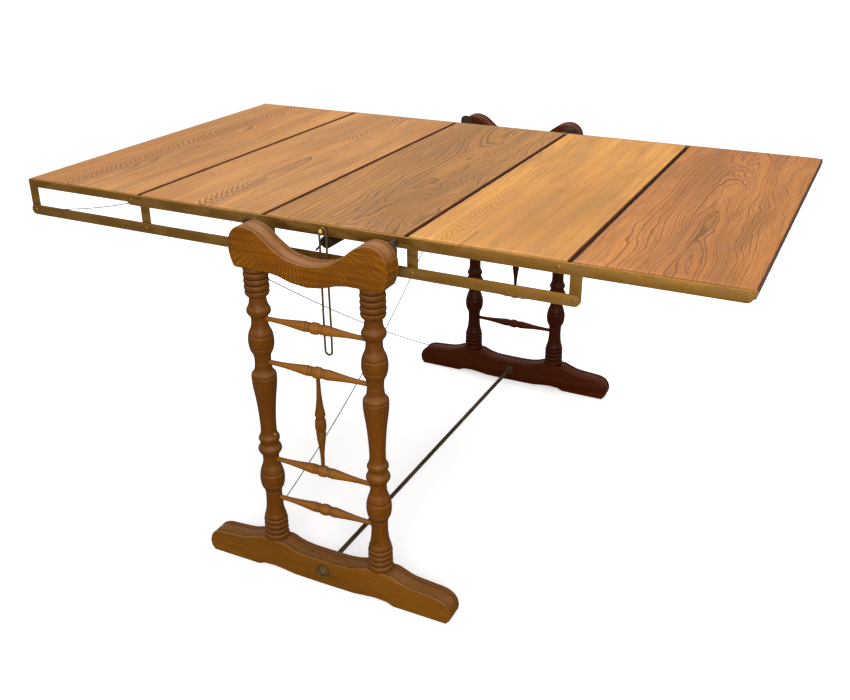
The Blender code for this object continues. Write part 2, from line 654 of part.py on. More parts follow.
def main():
    clear_scene()
    for side, sign_y in SIDES.items():
        make_yoke(side, sign_y)
        make_foot(side, sign_y)
        for end, sign_x in (("left", -1), ("right", 1)):
            make_post(side, end, sign_y, sign_x)
        for number in range(1, len(SPINDLE_HEIGHTS) + 1):
            make_cross_spindle(side, number, sign_y)
        make_upright_spindle(side, sign_y)
        for index in range(BOARD_COUNT):
            make_bracket(side, sign_y, index)
        upper = make_rail(side, sign_y, "upper", UPPER_PIN_X, UPPER_PIN_HEIGHT)
        make_rail(side, sign_y, "lower", LOWER_PIN_X, LOWER_PIN_HEIGHT)
        make_pivot_plate(side, sign_y, "upper", (UPPER_PIN_X, UPPER_PIN_HEIGHT), UPPER_PLATE)
        make_pivot_plate(side, sign_y, "lower", (LOWER_PIN_X, LOWER_PIN_HEIGHT), LOWER_PLATE)
        make_ball_pin(side, sign_y, upper)
        make_keeper_loop(side, sign_y)
    for index in range(BOARD_COUNT):
        make_board(index)
    make_stretcher()
    make_latch()
    make_batten()
    make_brace_wires()
    make_stay_wire()


main()
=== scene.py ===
# %% [markdown]
# # A folding shelf table
# Five boards ride level on two pairs of brass rails, between two turned oak trestles. The working solids
# come from the CAD frame. This script gives every one of them its finished shape and its finish.

# %% Load the frame
import json
import math
import random

import bmesh
import bpy
from mathutils import Matrix, Vector


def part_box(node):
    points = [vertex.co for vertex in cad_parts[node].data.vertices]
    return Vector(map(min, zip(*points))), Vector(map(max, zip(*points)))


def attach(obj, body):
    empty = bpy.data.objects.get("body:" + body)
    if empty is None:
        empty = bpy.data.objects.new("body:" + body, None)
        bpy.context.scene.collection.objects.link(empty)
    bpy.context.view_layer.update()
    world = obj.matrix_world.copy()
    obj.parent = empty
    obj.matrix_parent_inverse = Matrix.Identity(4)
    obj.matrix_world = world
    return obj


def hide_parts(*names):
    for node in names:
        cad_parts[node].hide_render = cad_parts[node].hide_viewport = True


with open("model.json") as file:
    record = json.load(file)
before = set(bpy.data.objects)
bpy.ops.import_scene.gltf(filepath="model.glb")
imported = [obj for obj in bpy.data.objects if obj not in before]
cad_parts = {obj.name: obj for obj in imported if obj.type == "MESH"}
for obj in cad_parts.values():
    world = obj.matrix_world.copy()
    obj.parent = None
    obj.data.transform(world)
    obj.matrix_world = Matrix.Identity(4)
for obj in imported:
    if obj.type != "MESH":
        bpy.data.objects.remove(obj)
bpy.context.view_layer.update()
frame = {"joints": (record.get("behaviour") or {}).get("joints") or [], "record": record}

record = frame["record"]
BODY_OF = {node: body for body, nodes in record["behaviour"]["bodies"].items() for node in nodes}
PIVOT = {joint["name"]: Vector(joint["pos_m"]) for joint in frame["joints"]}
SIDES = {"front": -1, "back": 1}

# %% [markdown]
# ## Camera
# The camera stands to the right of the near trestle, 1.3 m above the floor, and looks down on the top. It is
# held level to within half a degree, and a plain 41 mm lens frames the whole table.

# %% Place the camera
CAMERA_PLACE = Vector((0.9013, -1.8810, 1.2896))
CAMERA_AZIMUTH = math.radians(26.326)
CAMERA_ELEVATION = math.radians(25.285)
CAMERA_ROLL = math.radians(-0.355)
CAMERA_LENS = 41.47
CAMERA_SENSOR = 36.0

camera_data = bpy.data.cameras.new("viewer")
camera_data.lens = CAMERA_LENS
camera_data.sensor_width = CAMERA_SENSOR
camera = bpy.data.objects.new("viewer", camera_data)
bpy.context.scene.collection.objects.link(camera)
bpy.context.scene.camera = camera
level = math.cos(CAMERA_ELEVATION)
forward = Vector((
    -math.sin(CAMERA_AZIMUTH) * level,
    math.cos(CAMERA_AZIMUTH) * level,
    -math.sin(CAMERA_ELEVATION),
))
turned = forward.to_track_quat("-Z", "Y").to_matrix() @ Matrix.Rotation(CAMERA_ROLL, 3, "Z")
camera.matrix_world = Matrix.Translation(CAMERA_PLACE) @ turned.to_4x4()
print("camera looks along", tuple(round(value, 3) for value in forward))

# %% [markdown]
# ## The wires
# Two thin steel wires run from an eye under one yoke to an eye in the other foot, and a third crosses the
# first bay of the rails. A wire held at its two ends only sags, so each is a row of points on a shallow
# parabola, given to a curve that Blender thickens into a round wire.

# %% Wire routes
WIRE_RADIUS = 0.001
STAY_RADIUS = 0.0008
YOKE_EYE = (-0.152, 0.500, 0.6555)
FOOT_EYE_Y = 0.4785
FOOT_EYE_Z = 0.062
EYE_RISE = 0.003
# For each brace wire: the side of its upper eye, the x of its lower eye, and its sag
BRACES = {1: (-1, -0.240, 0.016), 2: (1, -0.170, 0.074)}


def sagging(start, end, sag, steps):
    """Points from start to end that hang below the straight line by sag at the middle."""
    points = []
    for step in range(steps + 1):
        t = step / steps
        point = Vector(start).lerp(Vector(end), t)
        point.z -= 4 * sag * t * (1 - t)
        points.append(point)
    return points


def wire_piece(name, points, radius, closed=False):
    """A round wire along the points: a thickened curve, kept as a mesh."""
    curve = bpy.data.curves.new(name, "CURVE")
    curve.dimensions = "3D"
    curve.bevel_depth = radius
    curve.bevel_resolution = 3
    curve.use_fill_caps = not closed
    spline = curve.splines.new("POLY")
    spline.use_cyclic_u = closed
    spline.points.add(len(points) - 1)
    for place, point in zip(spline.points, points):
        place.co = (*point, 1.0)
    guide = bpy.data.objects.new(name, curve)
    bm = bmesh.new()
    bm.from_mesh(bpy.data.meshes.new_from_object(guide))
    bpy.data.objects.remove(guide)
    bmesh.ops.remove_doubles(bm, verts=bm.verts, dist=1e-6)
    bmesh.ops.recalc_face_normals(bm, faces=bm.faces)
    mesh = bpy.data.meshes.new(name)
    bm.to_mesh(mesh)
    bm.free()
    mesh.shade_smooth()
    mesh.set_sharp_from_angle(angle=math.radians(50))
    wire = bpy.data.objects.new(name, mesh)
    bpy.context.scene.collection.objects.link(wire)
    return wire


def brace_eyes(number):
    """The centres of a brace wire's upper and lower eyes."""
    top_sign, low_x, _ = BRACES[number]
    top = Vector((YOKE_EYE[0], top_sign * YOKE_EYE[1], YOKE_EYE[2]))
    return top, Vector((low_x, -top_sign * FOOT_EYE_Y, FOOT_EYE_Z))


def brace_route(number):
    """From the upper eye to the lower one, and down through its ring."""
    top, low = brace_eyes(number)
    rise = Vector((0, 0, EYE_RISE))
    return sagging(top, low + rise, BRACES[number][2], 22) + [low - rise]


stay_low, stay_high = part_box("stay_wire")
stay_y = (stay_low.y + stay_high.y) / 2
stay_start = (stay_high.x, stay_y, stay_high.z - STAY_RADIUS)
stay_end = (stay_low.x, stay_y, PIVOT["lower_rail_turn"].z + 0.002)
ROUTES = {
    "brace_wire_1": (brace_route(1), WIRE_RADIUS, "taut"),
    "brace_wire_2": (brace_route(2), WIRE_RADIUS, "hanging"),
    "stay_wire": (sagging(stay_start, stay_end, 0.006, 12), STAY_RADIUS, "hanging"),
}
wires = {}
for node, (route, radius, lay) in ROUTES.items():
    wire = wire_piece(f"{node}_drawn", route, radius)
    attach(wire, BODY_OF[node])
    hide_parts(node)
    wires[node] = wire

# %% [markdown]
# ## Tools for shaders
# Every finish below is a small graph of nodes. These helpers add a node, feed its sockets and hand back
# its output, so that a finish reads from top to bottom like a recipe.


# %% A graph that writes itself
def toned(colour, factor):
    """The colour multiplied by one factor, or by one for each channel."""
    factors = factor if isinstance(factor, tuple) else (factor,) * 3
    return tuple(min(1.0, value * share) for value, share in zip(colour, factors))


class Graph:
    """Adds shader nodes to a tree and joins them."""

    def __init__(self, tree):
        self.tree = tree
        self.column = 0

    def add(self, kind, inputs=None, **settings):
        node = self.tree.nodes.new("ShaderNode" + kind)
        node.location = (self.column * 190, -(self.column % 4) * 160)
        self.column += 1
        for name, value in settings.items():
            setattr(node, name, value)
        for key, value in (inputs or {}).items():
            self.feed(node.inputs[key], value)
        return node

    def feed(self, socket, value):
        if isinstance(value, bpy.types.NodeSocket):
            self.tree.links.new(value, socket)
        else:
            socket.default_value = value

    def math(self, operation, first, second=0.0, clamp=False):
        node = self.add("Math", {0: first, 1: second}, operation=operation, use_clamp=clamp)
        return node.outputs[0]

    def stretch(self, vector, factors):
        node = self.add("VectorMath", {0: vector, 1: factors}, operation="MULTIPLY")
        return node.outputs[0]

    def noise(self, vector, factors, detail=2.0, roughness=0.5):
        """Noise from 0 to 1 whose cells have the given number per metre along each axis."""
        node = self.add("TexNoise", {"Vector": self.stretch(vector, factors), "Scale": 1.0})
        node.inputs["Detail"].default_value = detail
        node.inputs["Roughness"].default_value = roughness
        return node.outputs["Fac"]

    def part(self, vector, axis):
        return self.add("SeparateXYZ", {0: vector}).outputs[axis]

    def between(self, value, low, high, to_low=0.0, to_high=1.0):
        """Takes low to to_low and high to to_high, along a smooth step."""
        inputs = {0: value, 1: low, 2: high, 3: to_low, 4: to_high}
        return self.add("MapRange", inputs, interpolation_type="SMOOTHSTEP").outputs[0]

    def mix(self, factor, first, second):
        """Two colours mixed, each an output or an RGB triple."""
        node = self.add("Mix", {0: factor}, data_type="RGBA")
        for socket, colour in ((node.inputs[6], first), (node.inputs[7], second)):
            self.feed(socket, colour if isinstance(colour, bpy.types.NodeSocket) else (*colour, 1.0))
        return node.outputs[2]

    def bump(self, height, strength, distance):
        node = self.add("Bump", {"Height": height})
        node.inputs["Strength"].default_value = strength
        node.inputs["Distance"].default_value = distance
        return node.outputs["Normal"]

    def group(self, group, **values):
        """Places a shader node group. A value's name has _ where the socket's has a space."""
        node = self.add("Group", node_tree=group)
        for name, value in values.items():
            self.feed(node.inputs[name.replace("_", " ")], value)
        return node


def shader_group(name, inputs, outputs):
    """A node group with these sockets: its graph, and its input and output nodes."""
    tree = bpy.data.node_groups.new(name, "ShaderNodeTree")
    for socket, value in inputs.items():
        kind = "NodeSocketVector" if value is None else "NodeSocketFloat"
        made = tree.interface.new_socket(socket, in_out="INPUT", socket_type=kind)
        if value is not None:
            made.default_value = value
    for socket in outputs:
        tree.interface.new_socket(socket, in_out="OUTPUT", socket_type="NodeSocketFloat")
    graph = Graph(tree)
    entry = tree.nodes.new("NodeGroupInput").outputs
    result = tree.nodes.new("NodeGroupOutput").inputs
    return tree, graph, entry, result


def new_material(name):
    """A material with a Principled BSDF: its graph and that shader's inputs."""
    material = bpy.data.materials.new(name)
    material.use_nodes = True
    graph = Graph(material.node_tree)
    return material, graph, material.node_tree.nodes["Principled BSDF"].inputs


print("shader tools ready")

# %% [markdown]
# ## Wood that was once a log
# A board shows the growth rings of the tree it was cut from. The rings are shells around the pith, so the
# distance from a pith line that wanders, and climbs slowly through the board, gives straight lines at the
# board's edges and pointed arches down its middle. It is one formula for the whole solid, so end grain and
# faces agree. Where a board was sawn close to the surface of one ring, small arrow heads run in a row along
# it, and Arrows adds such a row. The grain runs along the group's Y axis, and its values are in metres.

# %% Growth rings
SEED_STEP = (7.3, 3.1, 5.7)
ARROWS_PER_METRE = 60
ARROW_STEEPNESS = 1.5


def arrow_heads(graph, lengthwise, beside, middling, lively):
    """Arrow heads in a row along the grain: each is a line that leans back from the row's centre."""
    lean = graph.math("MULTIPLY", beside, ARROWS_PER_METRE * ARROW_STEEPNESS)
    count = graph.math("SUBTRACT", graph.math("MULTIPLY", lengthwise, ARROWS_PER_METRE), lean)
    count = graph.math("ADD", count, graph.math("MULTIPLY", middling, 4.0))
    head = graph.math("FRACT", graph.math("ADD", count, graph.math("MULTIPLY", lively, 2.6)))
    return graph.math("MULTIPLY", graph.between(head, 0.2, 0.55), graph.between(head, 0.8, 1.0, 1.0, 0.0))


def make_growth_rings():
    inputs = {
        "Vector": None, "Spacing": 0.004, "Depth": 0.02, "Slope": 0.03, "Shift": 0.0, "Wander": 0.02,
        "Seed": 0.0, "Arrows": 0.0, "Arrow Shift": 0.0,
    }
    tree, graph, entry, result = shader_group("growth rings", inputs, ("Ring", "Fibre", "Pores", "Patch"))
    seed = graph.add("VectorMath", {0: SEED_STEP}, operation="SCALE")
    graph.feed(seed.inputs["Scale"], entry["Seed"])
    moved = graph.add("VectorMath", {0: entry["Vector"], 1: seed.outputs[0]}, operation="ADD").outputs[0]
    place = graph.add("SeparateXYZ", {0: entry["Vector"]}).outputs
    # Slow, middling and lively noise, each from -0.5 to 0.5
    slow = graph.math("SUBTRACT", graph.noise(moved, (4, 1.3, 4), 1.0), 0.5)
    middling = graph.math("SUBTRACT", graph.noise(moved, (15, 4.5, 15), 2.0), 0.5)
    lively = graph.math("SUBTRACT", graph.noise(moved, (60, 9, 60), 2.0), 0.5)
    sway = graph.math("ADD", slow, graph.math("MULTIPLY", middling, 0.4))
    sway = graph.math("MULTIPLY", sway, entry["Wander"])
    # The distance from the pith line
    across = graph.math("SUBTRACT", graph.math("ADD", place["X"], sway), entry["Shift"])
    climb = graph.math("MULTIPLY", place["Y"], entry["Slope"])
    down = graph.math("SUBTRACT", graph.math("ADD", climb, entry["Depth"]), place["Z"])
    swell = graph.math("MULTIPLY", entry["Wander"], 0.5)
    down = graph.math("ADD", down, graph.math("MULTIPLY", middling, swell))
    squares = graph.math("ADD", graph.math("MULTIPLY", across, across), graph.math("MULTIPLY", down, down))
    away = graph.math("ADD", graph.math("SQRT", squares), graph.math("MULTIPLY", lively, 0.0022))
    # Counted in years: the late wood darkens slowly and ends sharply, and some years are thin
    count = graph.math("DIVIDE", away, entry["Spacing"])
    year = graph.math("FLOOR", count)
    season = graph.math("FRACT", count)
    late = graph.math("POWER", season, 1.9)
    late = graph.math("MULTIPLY", late, graph.between(season, 0.88, 1.0, 1.0, 0.0))
    thick = graph.add("TexWhiteNoise", {"W": year}, noise_dimensions="1D").outputs["Value"]
    late = graph.math("MULTIPLY", late, graph.between(thick, 0.0, 1.0, 0.25, 1.35))
    # The arrow heads take the rings' place in a strip that comes and goes
    beside = graph.math("ADD", place["X"], graph.math("MULTIPLY", sway, 0.25))
    beside = graph.math("ABSOLUTE", graph.math("SUBTRACT", beside, entry["Arrow Shift"]))
    arrow = arrow_heads(graph, place["Y"], beside, middling, lively)
    strip = graph.math("MULTIPLY", graph.between(beside, 0.012, 0.030, 1.0, 0.0), entry["Arrows"])
    strip = graph.math("MULTIPLY", strip, graph.between(graph.noise(moved, (9, 3.2, 9), 1.0), 0.36, 0.5))
    late = graph.math("MULTIPLY", late, graph.math("SUBTRACT", 1.0, strip))
    late = graph.math("ADD", late, graph.math("MULTIPLY", arrow, strip))
    fibre = graph.noise(moved, (620, 12, 620), 3.0, 0.6)
    pores = graph.between(graph.noise(moved, (1000, 38, 1000), 2.0), 0.6, 0.7)
    pores = graph.math("MULTIPLY", pores, graph.between(season, 0.1, 0.6, 1.0, 0.25))
    graph.feed(result["Ring"], late)
    graph.feed(result["Fibre"], fibre)
    graph.feed(result["Pores"], pores)
    graph.feed(result["Patch"], graph.noise(moved, (5, 1.6, 5), 3.0, 0.55))
    return tree


GROWTH_RINGS = make_growth_rings()
print("growth rings:", len(GROWTH_RINGS.nodes), "nodes")

# %% [markdown]
# ## Wear, dirt and painted shade
# Hands rub the finish off edges, and dust and dirt stay in hollows. The Bevel node rounds the normal near
# an edge, so where it differs from the true one there is an edge. Ambient occlusion finds the hollows, and
# the oak also uses that mask to paint shade into its grooves.


# %% Edge wear and hollows
def make_edge_wear():
    tree, graph, entry, result = shader_group("edge wear", {"Radius": 0.0015, "Breakup": 200.0}, ("Mask",))
    rounded = graph.add("Bevel", {"Radius": entry["Radius"]}, samples=4).outputs[0]
    flat = graph.add("NewGeometry").outputs["Normal"]
    alike = graph.add("VectorMath", {0: rounded, 1: flat}, operation="DOT_PRODUCT").outputs["Value"]
    place = graph.add("TexCoord").outputs["Object"]
    cloud = graph.add("TexNoise", {"Vector": place, "Scale": entry["Breakup"], "Detail": 3.0})
    broken = graph.between(cloud.outputs["Fac"], 0.36, 0.6)
    edge = graph.between(graph.math("SUBTRACT", 1.0, alike), 0.01, 0.16)
    graph.feed(result["Mask"], graph.math("MULTIPLY", edge, broken, clamp=True))
    return tree


def make_hollows():
    tree, graph, entry, result = shader_group("hollows", {"Reach": 0.006}, ("Mask",))
    shade = graph.add("AmbientOcclusion", {"Distance": entry["Reach"]}, samples=6, only_local=True)
    graph.feed(result["Mask"], graph.between(shade.outputs["AO"], 0.35, 0.95, 1.0, 0.0))
    return tree


EDGE_WEAR = make_edge_wear()
HOLLOWS = make_hollows()
print("edge wear and hollows ready")

# %% [markdown]
# ## The boards' finish
# The five boards came from different logs, under one old varnish that has gone orange. Each gets its own
# rings and its own two tones. The dark late wood stands a hair proud, and pores show as fine dark dashes.

# %% Board wood
WOOD_BUMP = 0.0004
WEATHERED = (0.55, 0.58, 0.66)
BOARD_SIDE_SHADE = (0.090, 0.024, 0.007)


def board_wood(name, light, dark, rings, contrast, top_centre):
    material, graph, shader = new_material(name)
    place = graph.add("TexCoord").outputs["Object"]
    place = graph.add("VectorMath", {0: place, 1: top_centre}, operation="SUBTRACT").outputs[0]
    wood = graph.group(GROWTH_RINGS, Vector=place, **rings).outputs
    # The ground: broad patches, fine streaks and greyed stretches
    patch = graph.between(wood["Patch"], 0.3, 0.72)
    ground = graph.mix(patch, toned(light, (0.80, 0.70, 0.56)), toned(light, (1.16, 1.18, 1.20)))
    streak = graph.between(wood["Fibre"], 0.3, 0.72, 0.0, 0.62)
    ground = graph.mix(streak, ground, tuple(0.35 * a + 0.65 * b for a, b in zip(light, dark)))
    weather = graph.between(graph.noise(place, (16, 2.2, 16), 3.0, 0.6), 0.42, 0.68, 0.0, 0.65)
    ground = graph.mix(weather, ground, toned(light, WEATHERED))
    # What is drawn on it: rings, pores and old spots
    lines = graph.math("MULTIPLY", wood["Ring"], contrast, clamp=True)
    ground = graph.mix(lines, ground, dark)
    ground = graph.mix(graph.math("MULTIPLY", wood["Pores"], 0.55), ground, toned(dark, 0.5))
    blot = graph.between(graph.noise(place, (9, 5, 9), 4.0, 0.6), 0.58, 0.78, 0.0, 0.4)
    ground = graph.mix(blot, ground, toned(dark, 0.8))
    # Hands have darkened the edges, and the sides facing the gaps get painted shade
    rubbed = graph.group(EDGE_WEAR, Radius=0.002, Breakup=90.0).outputs[0]
    ground = graph.mix(graph.math("MULTIPLY", rubbed, 0.55), ground, toned(dark, 0.42))
    facing = graph.part(graph.add("TexCoord").outputs["Normal"], "X")
    edge = graph.between(graph.math("ABSOLUTE", facing), 0.08, 0.5, 0.0, 0.92)
    ground = graph.mix(edge, ground, BOARD_SIDE_SHADE)
    graph.feed(shader["Base Color"], ground)
    sheen = graph.between(graph.noise(place, (30, 8, 30), 3.0), 0.3, 0.7, 0.46, 0.60)
    graph.feed(shader["Roughness"], graph.math("ADD", sheen, graph.math("MULTIPLY", wood["Pores"], 0.15)))
    height = graph.math("SUBTRACT", graph.math("MULTIPLY", wood["Ring"], 0.5), wood["Pores"])
    height = graph.math("ADD", height, graph.math("MULTIPLY", wood["Fibre"], 0.35))
    graph.feed(shader["Normal"], graph.bump(height, 0.5, WOOD_BUMP))
    shader["Specular IOR Level"].default_value = 0.22
    shader["Coat Weight"].default_value = 0.04
    shader["Coat Roughness"].default_value = 0.3
    return material


BOARD_LOOKS = {
    1: ((0.540, 0.240, 0.054), (0.150, 0.055, 0.012), 0.85, dict(
        Spacing=0.0066, Depth=0.030, Slope=0.060, Shift=-0.020, Wander=0.070, Seed=1.0,
        Arrows=0.9, Arrow_Shift=-0.035)),
    2: ((0.530, 0.238, 0.056), (0.150, 0.055, 0.013), 0.80, dict(
        Spacing=0.0062, Depth=0.026, Slope=0.030, Shift=0.010, Wander=0.040, Seed=2.0,
        Arrows=1.0, Arrow_Shift=0.004)),
    3: ((0.440, 0.192, 0.034), (0.110, 0.048, 0.011), 0.92, dict(
        Spacing=0.0066, Depth=0.030, Slope=-0.040, Shift=0.010, Wander=0.150, Seed=3.0)),
    4: ((0.620, 0.278, 0.048), (0.240, 0.092, 0.017), 0.70, dict(
        Spacing=0.0052, Depth=0.050, Slope=0.030, Shift=-0.150, Wander=0.030, Seed=4.0,
        Arrows=0.5, Arrow_Shift=-0.075)),
    5: ((0.490, 0.180, 0.030), (0.120, 0.036, 0.007), 0.85, dict(
        Spacing=0.0050, Depth=0.026, Slope=0.060, Shift=0.006, Wander=0.120, Seed=5.0)),
}
board_finish = {}
for number, (light, dark, contrast, rings) in BOARD_LOOKS.items():
    low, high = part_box(f"board_{number}")
    top_centre = ((low.x + high.x) / 2, 0.0, high.z)
    board_finish[number] = board_wood(f"board {number}", light, dark, rings, contrast, top_centre)
print(len(board_finish), "board finishes")

# %% [markdown]
# ## The trestles' oak
# The trestles are oiled oak: golden brown on sawn faces and paler where edges are rubbed. Painted shade
# makes the turned grooves almost black, and upward faces carry a painted sky sheen. The back trestle gets
# copies of the front oaks with much darker and redder tones, which are painted shade. The same rings run
# up the posts, so the material turns the grain to the piece's own axis, and pale rays cross the rings on
# the yokes' faces.

# %% Oak
POST_RINGS = dict(Spacing=0.0052, Depth=0.08, Slope=0.04, Shift=0.05, Wander=0.03, Seed=6.0)
YOKE_RINGS = dict(Spacing=0.0085, Depth=0.150, Slope=0.02, Shift=0.0, Wander=0.05, Seed=7.0)
OAK_PLAIN = dict(dark=(0.075, 0.021, 0.0020), pale=(0.285, 0.130, 0.050), rings=POST_RINGS)
OAK_GROOVE_SHADE = (0.014, 0.004, 0.001)
BACK_PAINTED_SHADE = (0.36, 0.17, 0.13)


def oak(name, grain, light, dark, pale, rings, painted_top_sheen=0.0, rays=None):
    """grain is the axis that the grain runs along, and rays the (x, z) point that they spread from."""
    material, graph, shader = new_material(name)
    place = graph.add("TexCoord").outputs["Object"]
    axes = graph.add("SeparateXYZ", {0: place}).outputs
    order = {"X": "YXZ", "Y": "XYZ", "Z": "XZY"}[grain]
    along = graph.add("CombineXYZ", {i: axes[axis] for i, axis in enumerate(order)}).outputs[0]
    wood = graph.group(GROWTH_RINGS, Vector=along, **rings).outputs
    ground = graph.mix(graph.between(wood["Patch"], 0.3, 0.7), toned(light, 0.66), light)
    ground = graph.mix(graph.math("MULTIPLY", wood["Ring"], 0.6, clamp=True), ground, dark)
    ground = graph.mix(graph.between(wood["Fibre"], 0.3, 0.72, 0.0, 0.6), ground, dark)
    ground = graph.mix(graph.math("MULTIPLY", wood["Pores"], 0.6), ground, toned(dark, 0.4))
    if rays:
        # Pale rays fan out, each a short bright slice of the angle about their centre
        aside = graph.math("SUBTRACT", axes["X"], rays[0])
        below = graph.math("SUBTRACT", rays[1], axes["Z"])
        turn = graph.math("MULTIPLY", graph.math("ARCTAN2", aside, below), 15.0)
        bend = graph.math("MULTIPLY", graph.noise(place, (13, 3, 13), 2.0), 2.4)
        ray = graph.math("FRACT", graph.math("ADD", turn, bend))
        fade = graph.between(ray, 0.80, 0.92, 1.0, 0.0)
        ray = graph.math("MULTIPLY", graph.between(ray, 0.55, 0.78), fade)
        broken = graph.between(graph.noise(place, (26, 4, 26), 2.0), 0.44, 0.66, 0.0, 0.42)
        ground = graph.mix(graph.math("MULTIPLY", ray, broken), ground, toned(light, 1.7))
    if painted_top_sheen:
        # Painted sky sheen: upward faces are mixed toward the pale tone, broken up by noise
        up = graph.part(graph.add("NewGeometry").outputs["Normal"], "Z")
        sheen_mask = graph.math("MULTIPLY", graph.between(up, 0.15, 0.7), painted_top_sheen)
        sheen_breakup = graph.between(graph.noise(along, (50, 9, 50), 3.0), 0.3, 0.7, 0.55, 1.0)
        ground = graph.mix(graph.math("MULTIPLY", sheen_mask, sheen_breakup), ground, pale)
    rubbed = graph.group(EDGE_WEAR, Radius=0.0022, Breakup=90.0).outputs[0]
    ground = graph.mix(graph.math("MULTIPLY", rubbed, 0.7), ground, toned(pale, 1.15))
    # A few small chips, dust in the hollows, and then painted shade that darkens the hollows nearly to black
    chips = graph.add("TexVoronoi", {"Vector": place, "Scale": 38.0}).outputs
    chosen = graph.math("GREATER_THAN", graph.part(chips["Color"], "X"), 0.93)
    chip = graph.math("MULTIPLY", graph.between(chips["Distance"], 0.07, 0.10, 1.0, 0.0), chosen)
    ground = graph.mix(chip, ground, toned(pale, 1.9))
    dust = graph.group(HOLLOWS, Reach=0.020).outputs[0]
    dusty = graph.between(graph.noise(place, (60, 60, 60), 3.0), 0.4, 0.65, 0.0, 0.35)
    ground = graph.mix(graph.math("MULTIPLY", dust, dusty), ground, pale)
    hollow = graph.group(HOLLOWS, Reach=0.006).outputs[0]
    ground = graph.mix(graph.math("MULTIPLY", hollow, 0.9), ground, OAK_GROOVE_SHADE)
    graph.feed(shader["Base Color"], ground)
    sheen = graph.between(graph.noise(place, (50, 50, 50), 3.0), 0.3, 0.7, 0.34, 0.5)
    graph.feed(shader["Roughness"], graph.math("ADD", sheen, graph.math("MULTIPLY", hollow, 0.25)))
    height = graph.math("SUBTRACT", graph.math("MULTIPLY", wood["Fibre"], 0.5), wood["Pores"])
    graph.feed(shader["Normal"], graph.bump(height, 0.45, 0.0003))
    shader["Specular IOR Level"].default_value = 0.08
    shader["Coat Weight"].default_value = 0.03
    shader["Coat Roughness"].default_value = 0.25
    return material


OAK_LOOKS = {
    "turned": ("Z", dict(light=(0.160, 0.050, 0.0022), painted_top_sheen=0.45)),
    "spindle": ("X", dict(light=(0.310, 0.108, 0.0070), dark=(0.130, 0.040, 0.004), painted_top_sheen=0.4)),
    "upright": ("Z", dict(light=(0.190, 0.064, 0.0035))),
    "yoke": ("X", dict(light=(0.255, 0.084, 0.0018), rings=YOKE_RINGS, painted_top_sheen=0.8, rays=(-0.02, 0.786))),
    "foot": ("X", dict(light=(0.262, 0.094, 0.0050), painted_top_sheen=0.45)),
}
oak_finish = {}
for kind, (grain, look) in OAK_LOOKS.items():
    look = {**OAK_PLAIN, **look}
    oak_finish["front", kind] = oak(f"{kind} oak", grain, **look)
    # The back trestle's copy: the same oak with painted shade, much darker and redder
    look.update({tone: toned(look[tone], BACK_PAINTED_SHADE) for tone in ("light", "dark", "pale")})
    oak_finish["back", kind] = oak(f"{kind} oak, painted shade", grain, **look)
print(len(oak_finish), "oak finishes")

# %% [markdown]
# ## Brass, iron and steel
# The bars are flat brass that has gone brown and olive, with finger-polished edges, faint scratches along
# their length and small dark pits. One function makes every metal here: a clean tone, a tarnished tone and
# how far the tarnish has gone.


# %% Metals
def aged_metal(name, clean, tarnish, spread, shine, pits=0.6, grain=(6, 300, 300), hollow=0.7):
    material, graph, shader = new_material(name)
    place = graph.add("TexCoord").outputs["Object"]
    cloud = graph.noise(place, (14, 14, 40), 4.0, 0.6)
    patch = graph.between(cloud, spread, spread + 0.22, 1.0, 0.0)
    streaks = graph.noise(place, grain, 2.0)
    ground = graph.mix(graph.between(streaks, 0.35, 0.65, 0.0, 0.3), clean, tarnish)
    ground = graph.mix(patch, ground, tarnish)
    # A tenth of the cells get a pit
    cells = graph.add("TexVoronoi", {"Vector": place, "Scale": 210.0}).outputs
    chosen = graph.math("GREATER_THAN", graph.part(cells["Color"], "X"), 0.9)
    pit = graph.math("MULTIPLY", graph.between(cells["Distance"], 0.12, 0.3, 1.0, 0.0), chosen)
    ground = graph.mix(graph.math("MULTIPLY", pit, pits), ground, toned(tarnish, 0.18))
    bright = graph.group(EDGE_WEAR, Radius=0.0016, Breakup=45.0).outputs[0]
    ground = graph.mix(graph.math("MULTIPLY", bright, 0.85), ground, toned(clean, (1.9, 2.0, 2.6)))
    dirt = graph.group(HOLLOWS, Reach=0.004).outputs[0]
    dirt = graph.math("MULTIPLY", dirt, hollow)
    ground = graph.mix(dirt, ground, toned(tarnish, 0.25))
    graph.feed(shader["Base Color"], ground)
    dull = graph.math("MULTIPLY", patch, 0.22)
    rough = graph.math("ADD", graph.between(streaks, 0.3, 0.7, shine, shine + 0.1), dull)
    graph.feed(shader["Roughness"], graph.math("SUBTRACT", rough, graph.math("MULTIPLY", bright, 0.12)))
    graph.feed(shader["Metallic"], graph.between(graph.math("ADD", patch, dirt), 0.0, 1.4, 1.0, 0.55))
    height = graph.math("SUBTRACT", graph.math("MULTIPLY", streaks, 0.3), pit)
    graph.feed(shader["Normal"], graph.bump(height, 0.35, 0.0002))
    return material


brass = aged_metal("aged brass", (0.335, 0.168, 0.032), (0.235, 0.115, 0.022), 0.36, 0.40)
bright_brass = aged_metal("rubbed brass", (0.640, 0.400, 0.110), (0.330, 0.190, 0.045), 0.30, 0.24, 0.3)
dark_brass = aged_metal("dark brass", (0.150, 0.090, 0.032), (0.045, 0.028, 0.013), 0.50, 0.38)
nut_brass = aged_metal("nut brass", (0.240, 0.148, 0.050), (0.105, 0.064, 0.024), 0.46, 0.42)
iron = aged_metal("dark iron", (0.080, 0.062, 0.036), (0.026, 0.018, 0.010), 0.50, 0.46, 0.8, (80, 80, 80))
rod_iron = aged_metal("rod iron", (0.155, 0.112, 0.054), (0.070, 0.043, 0.018), 0.48, 0.5, 0.8, (60, 9, 60))
steel = aged_metal("wire steel", (0.048, 0.048, 0.051), (0.026, 0.025, 0.024), 0.36, 0.5, 0.4, (90, 90, 90))
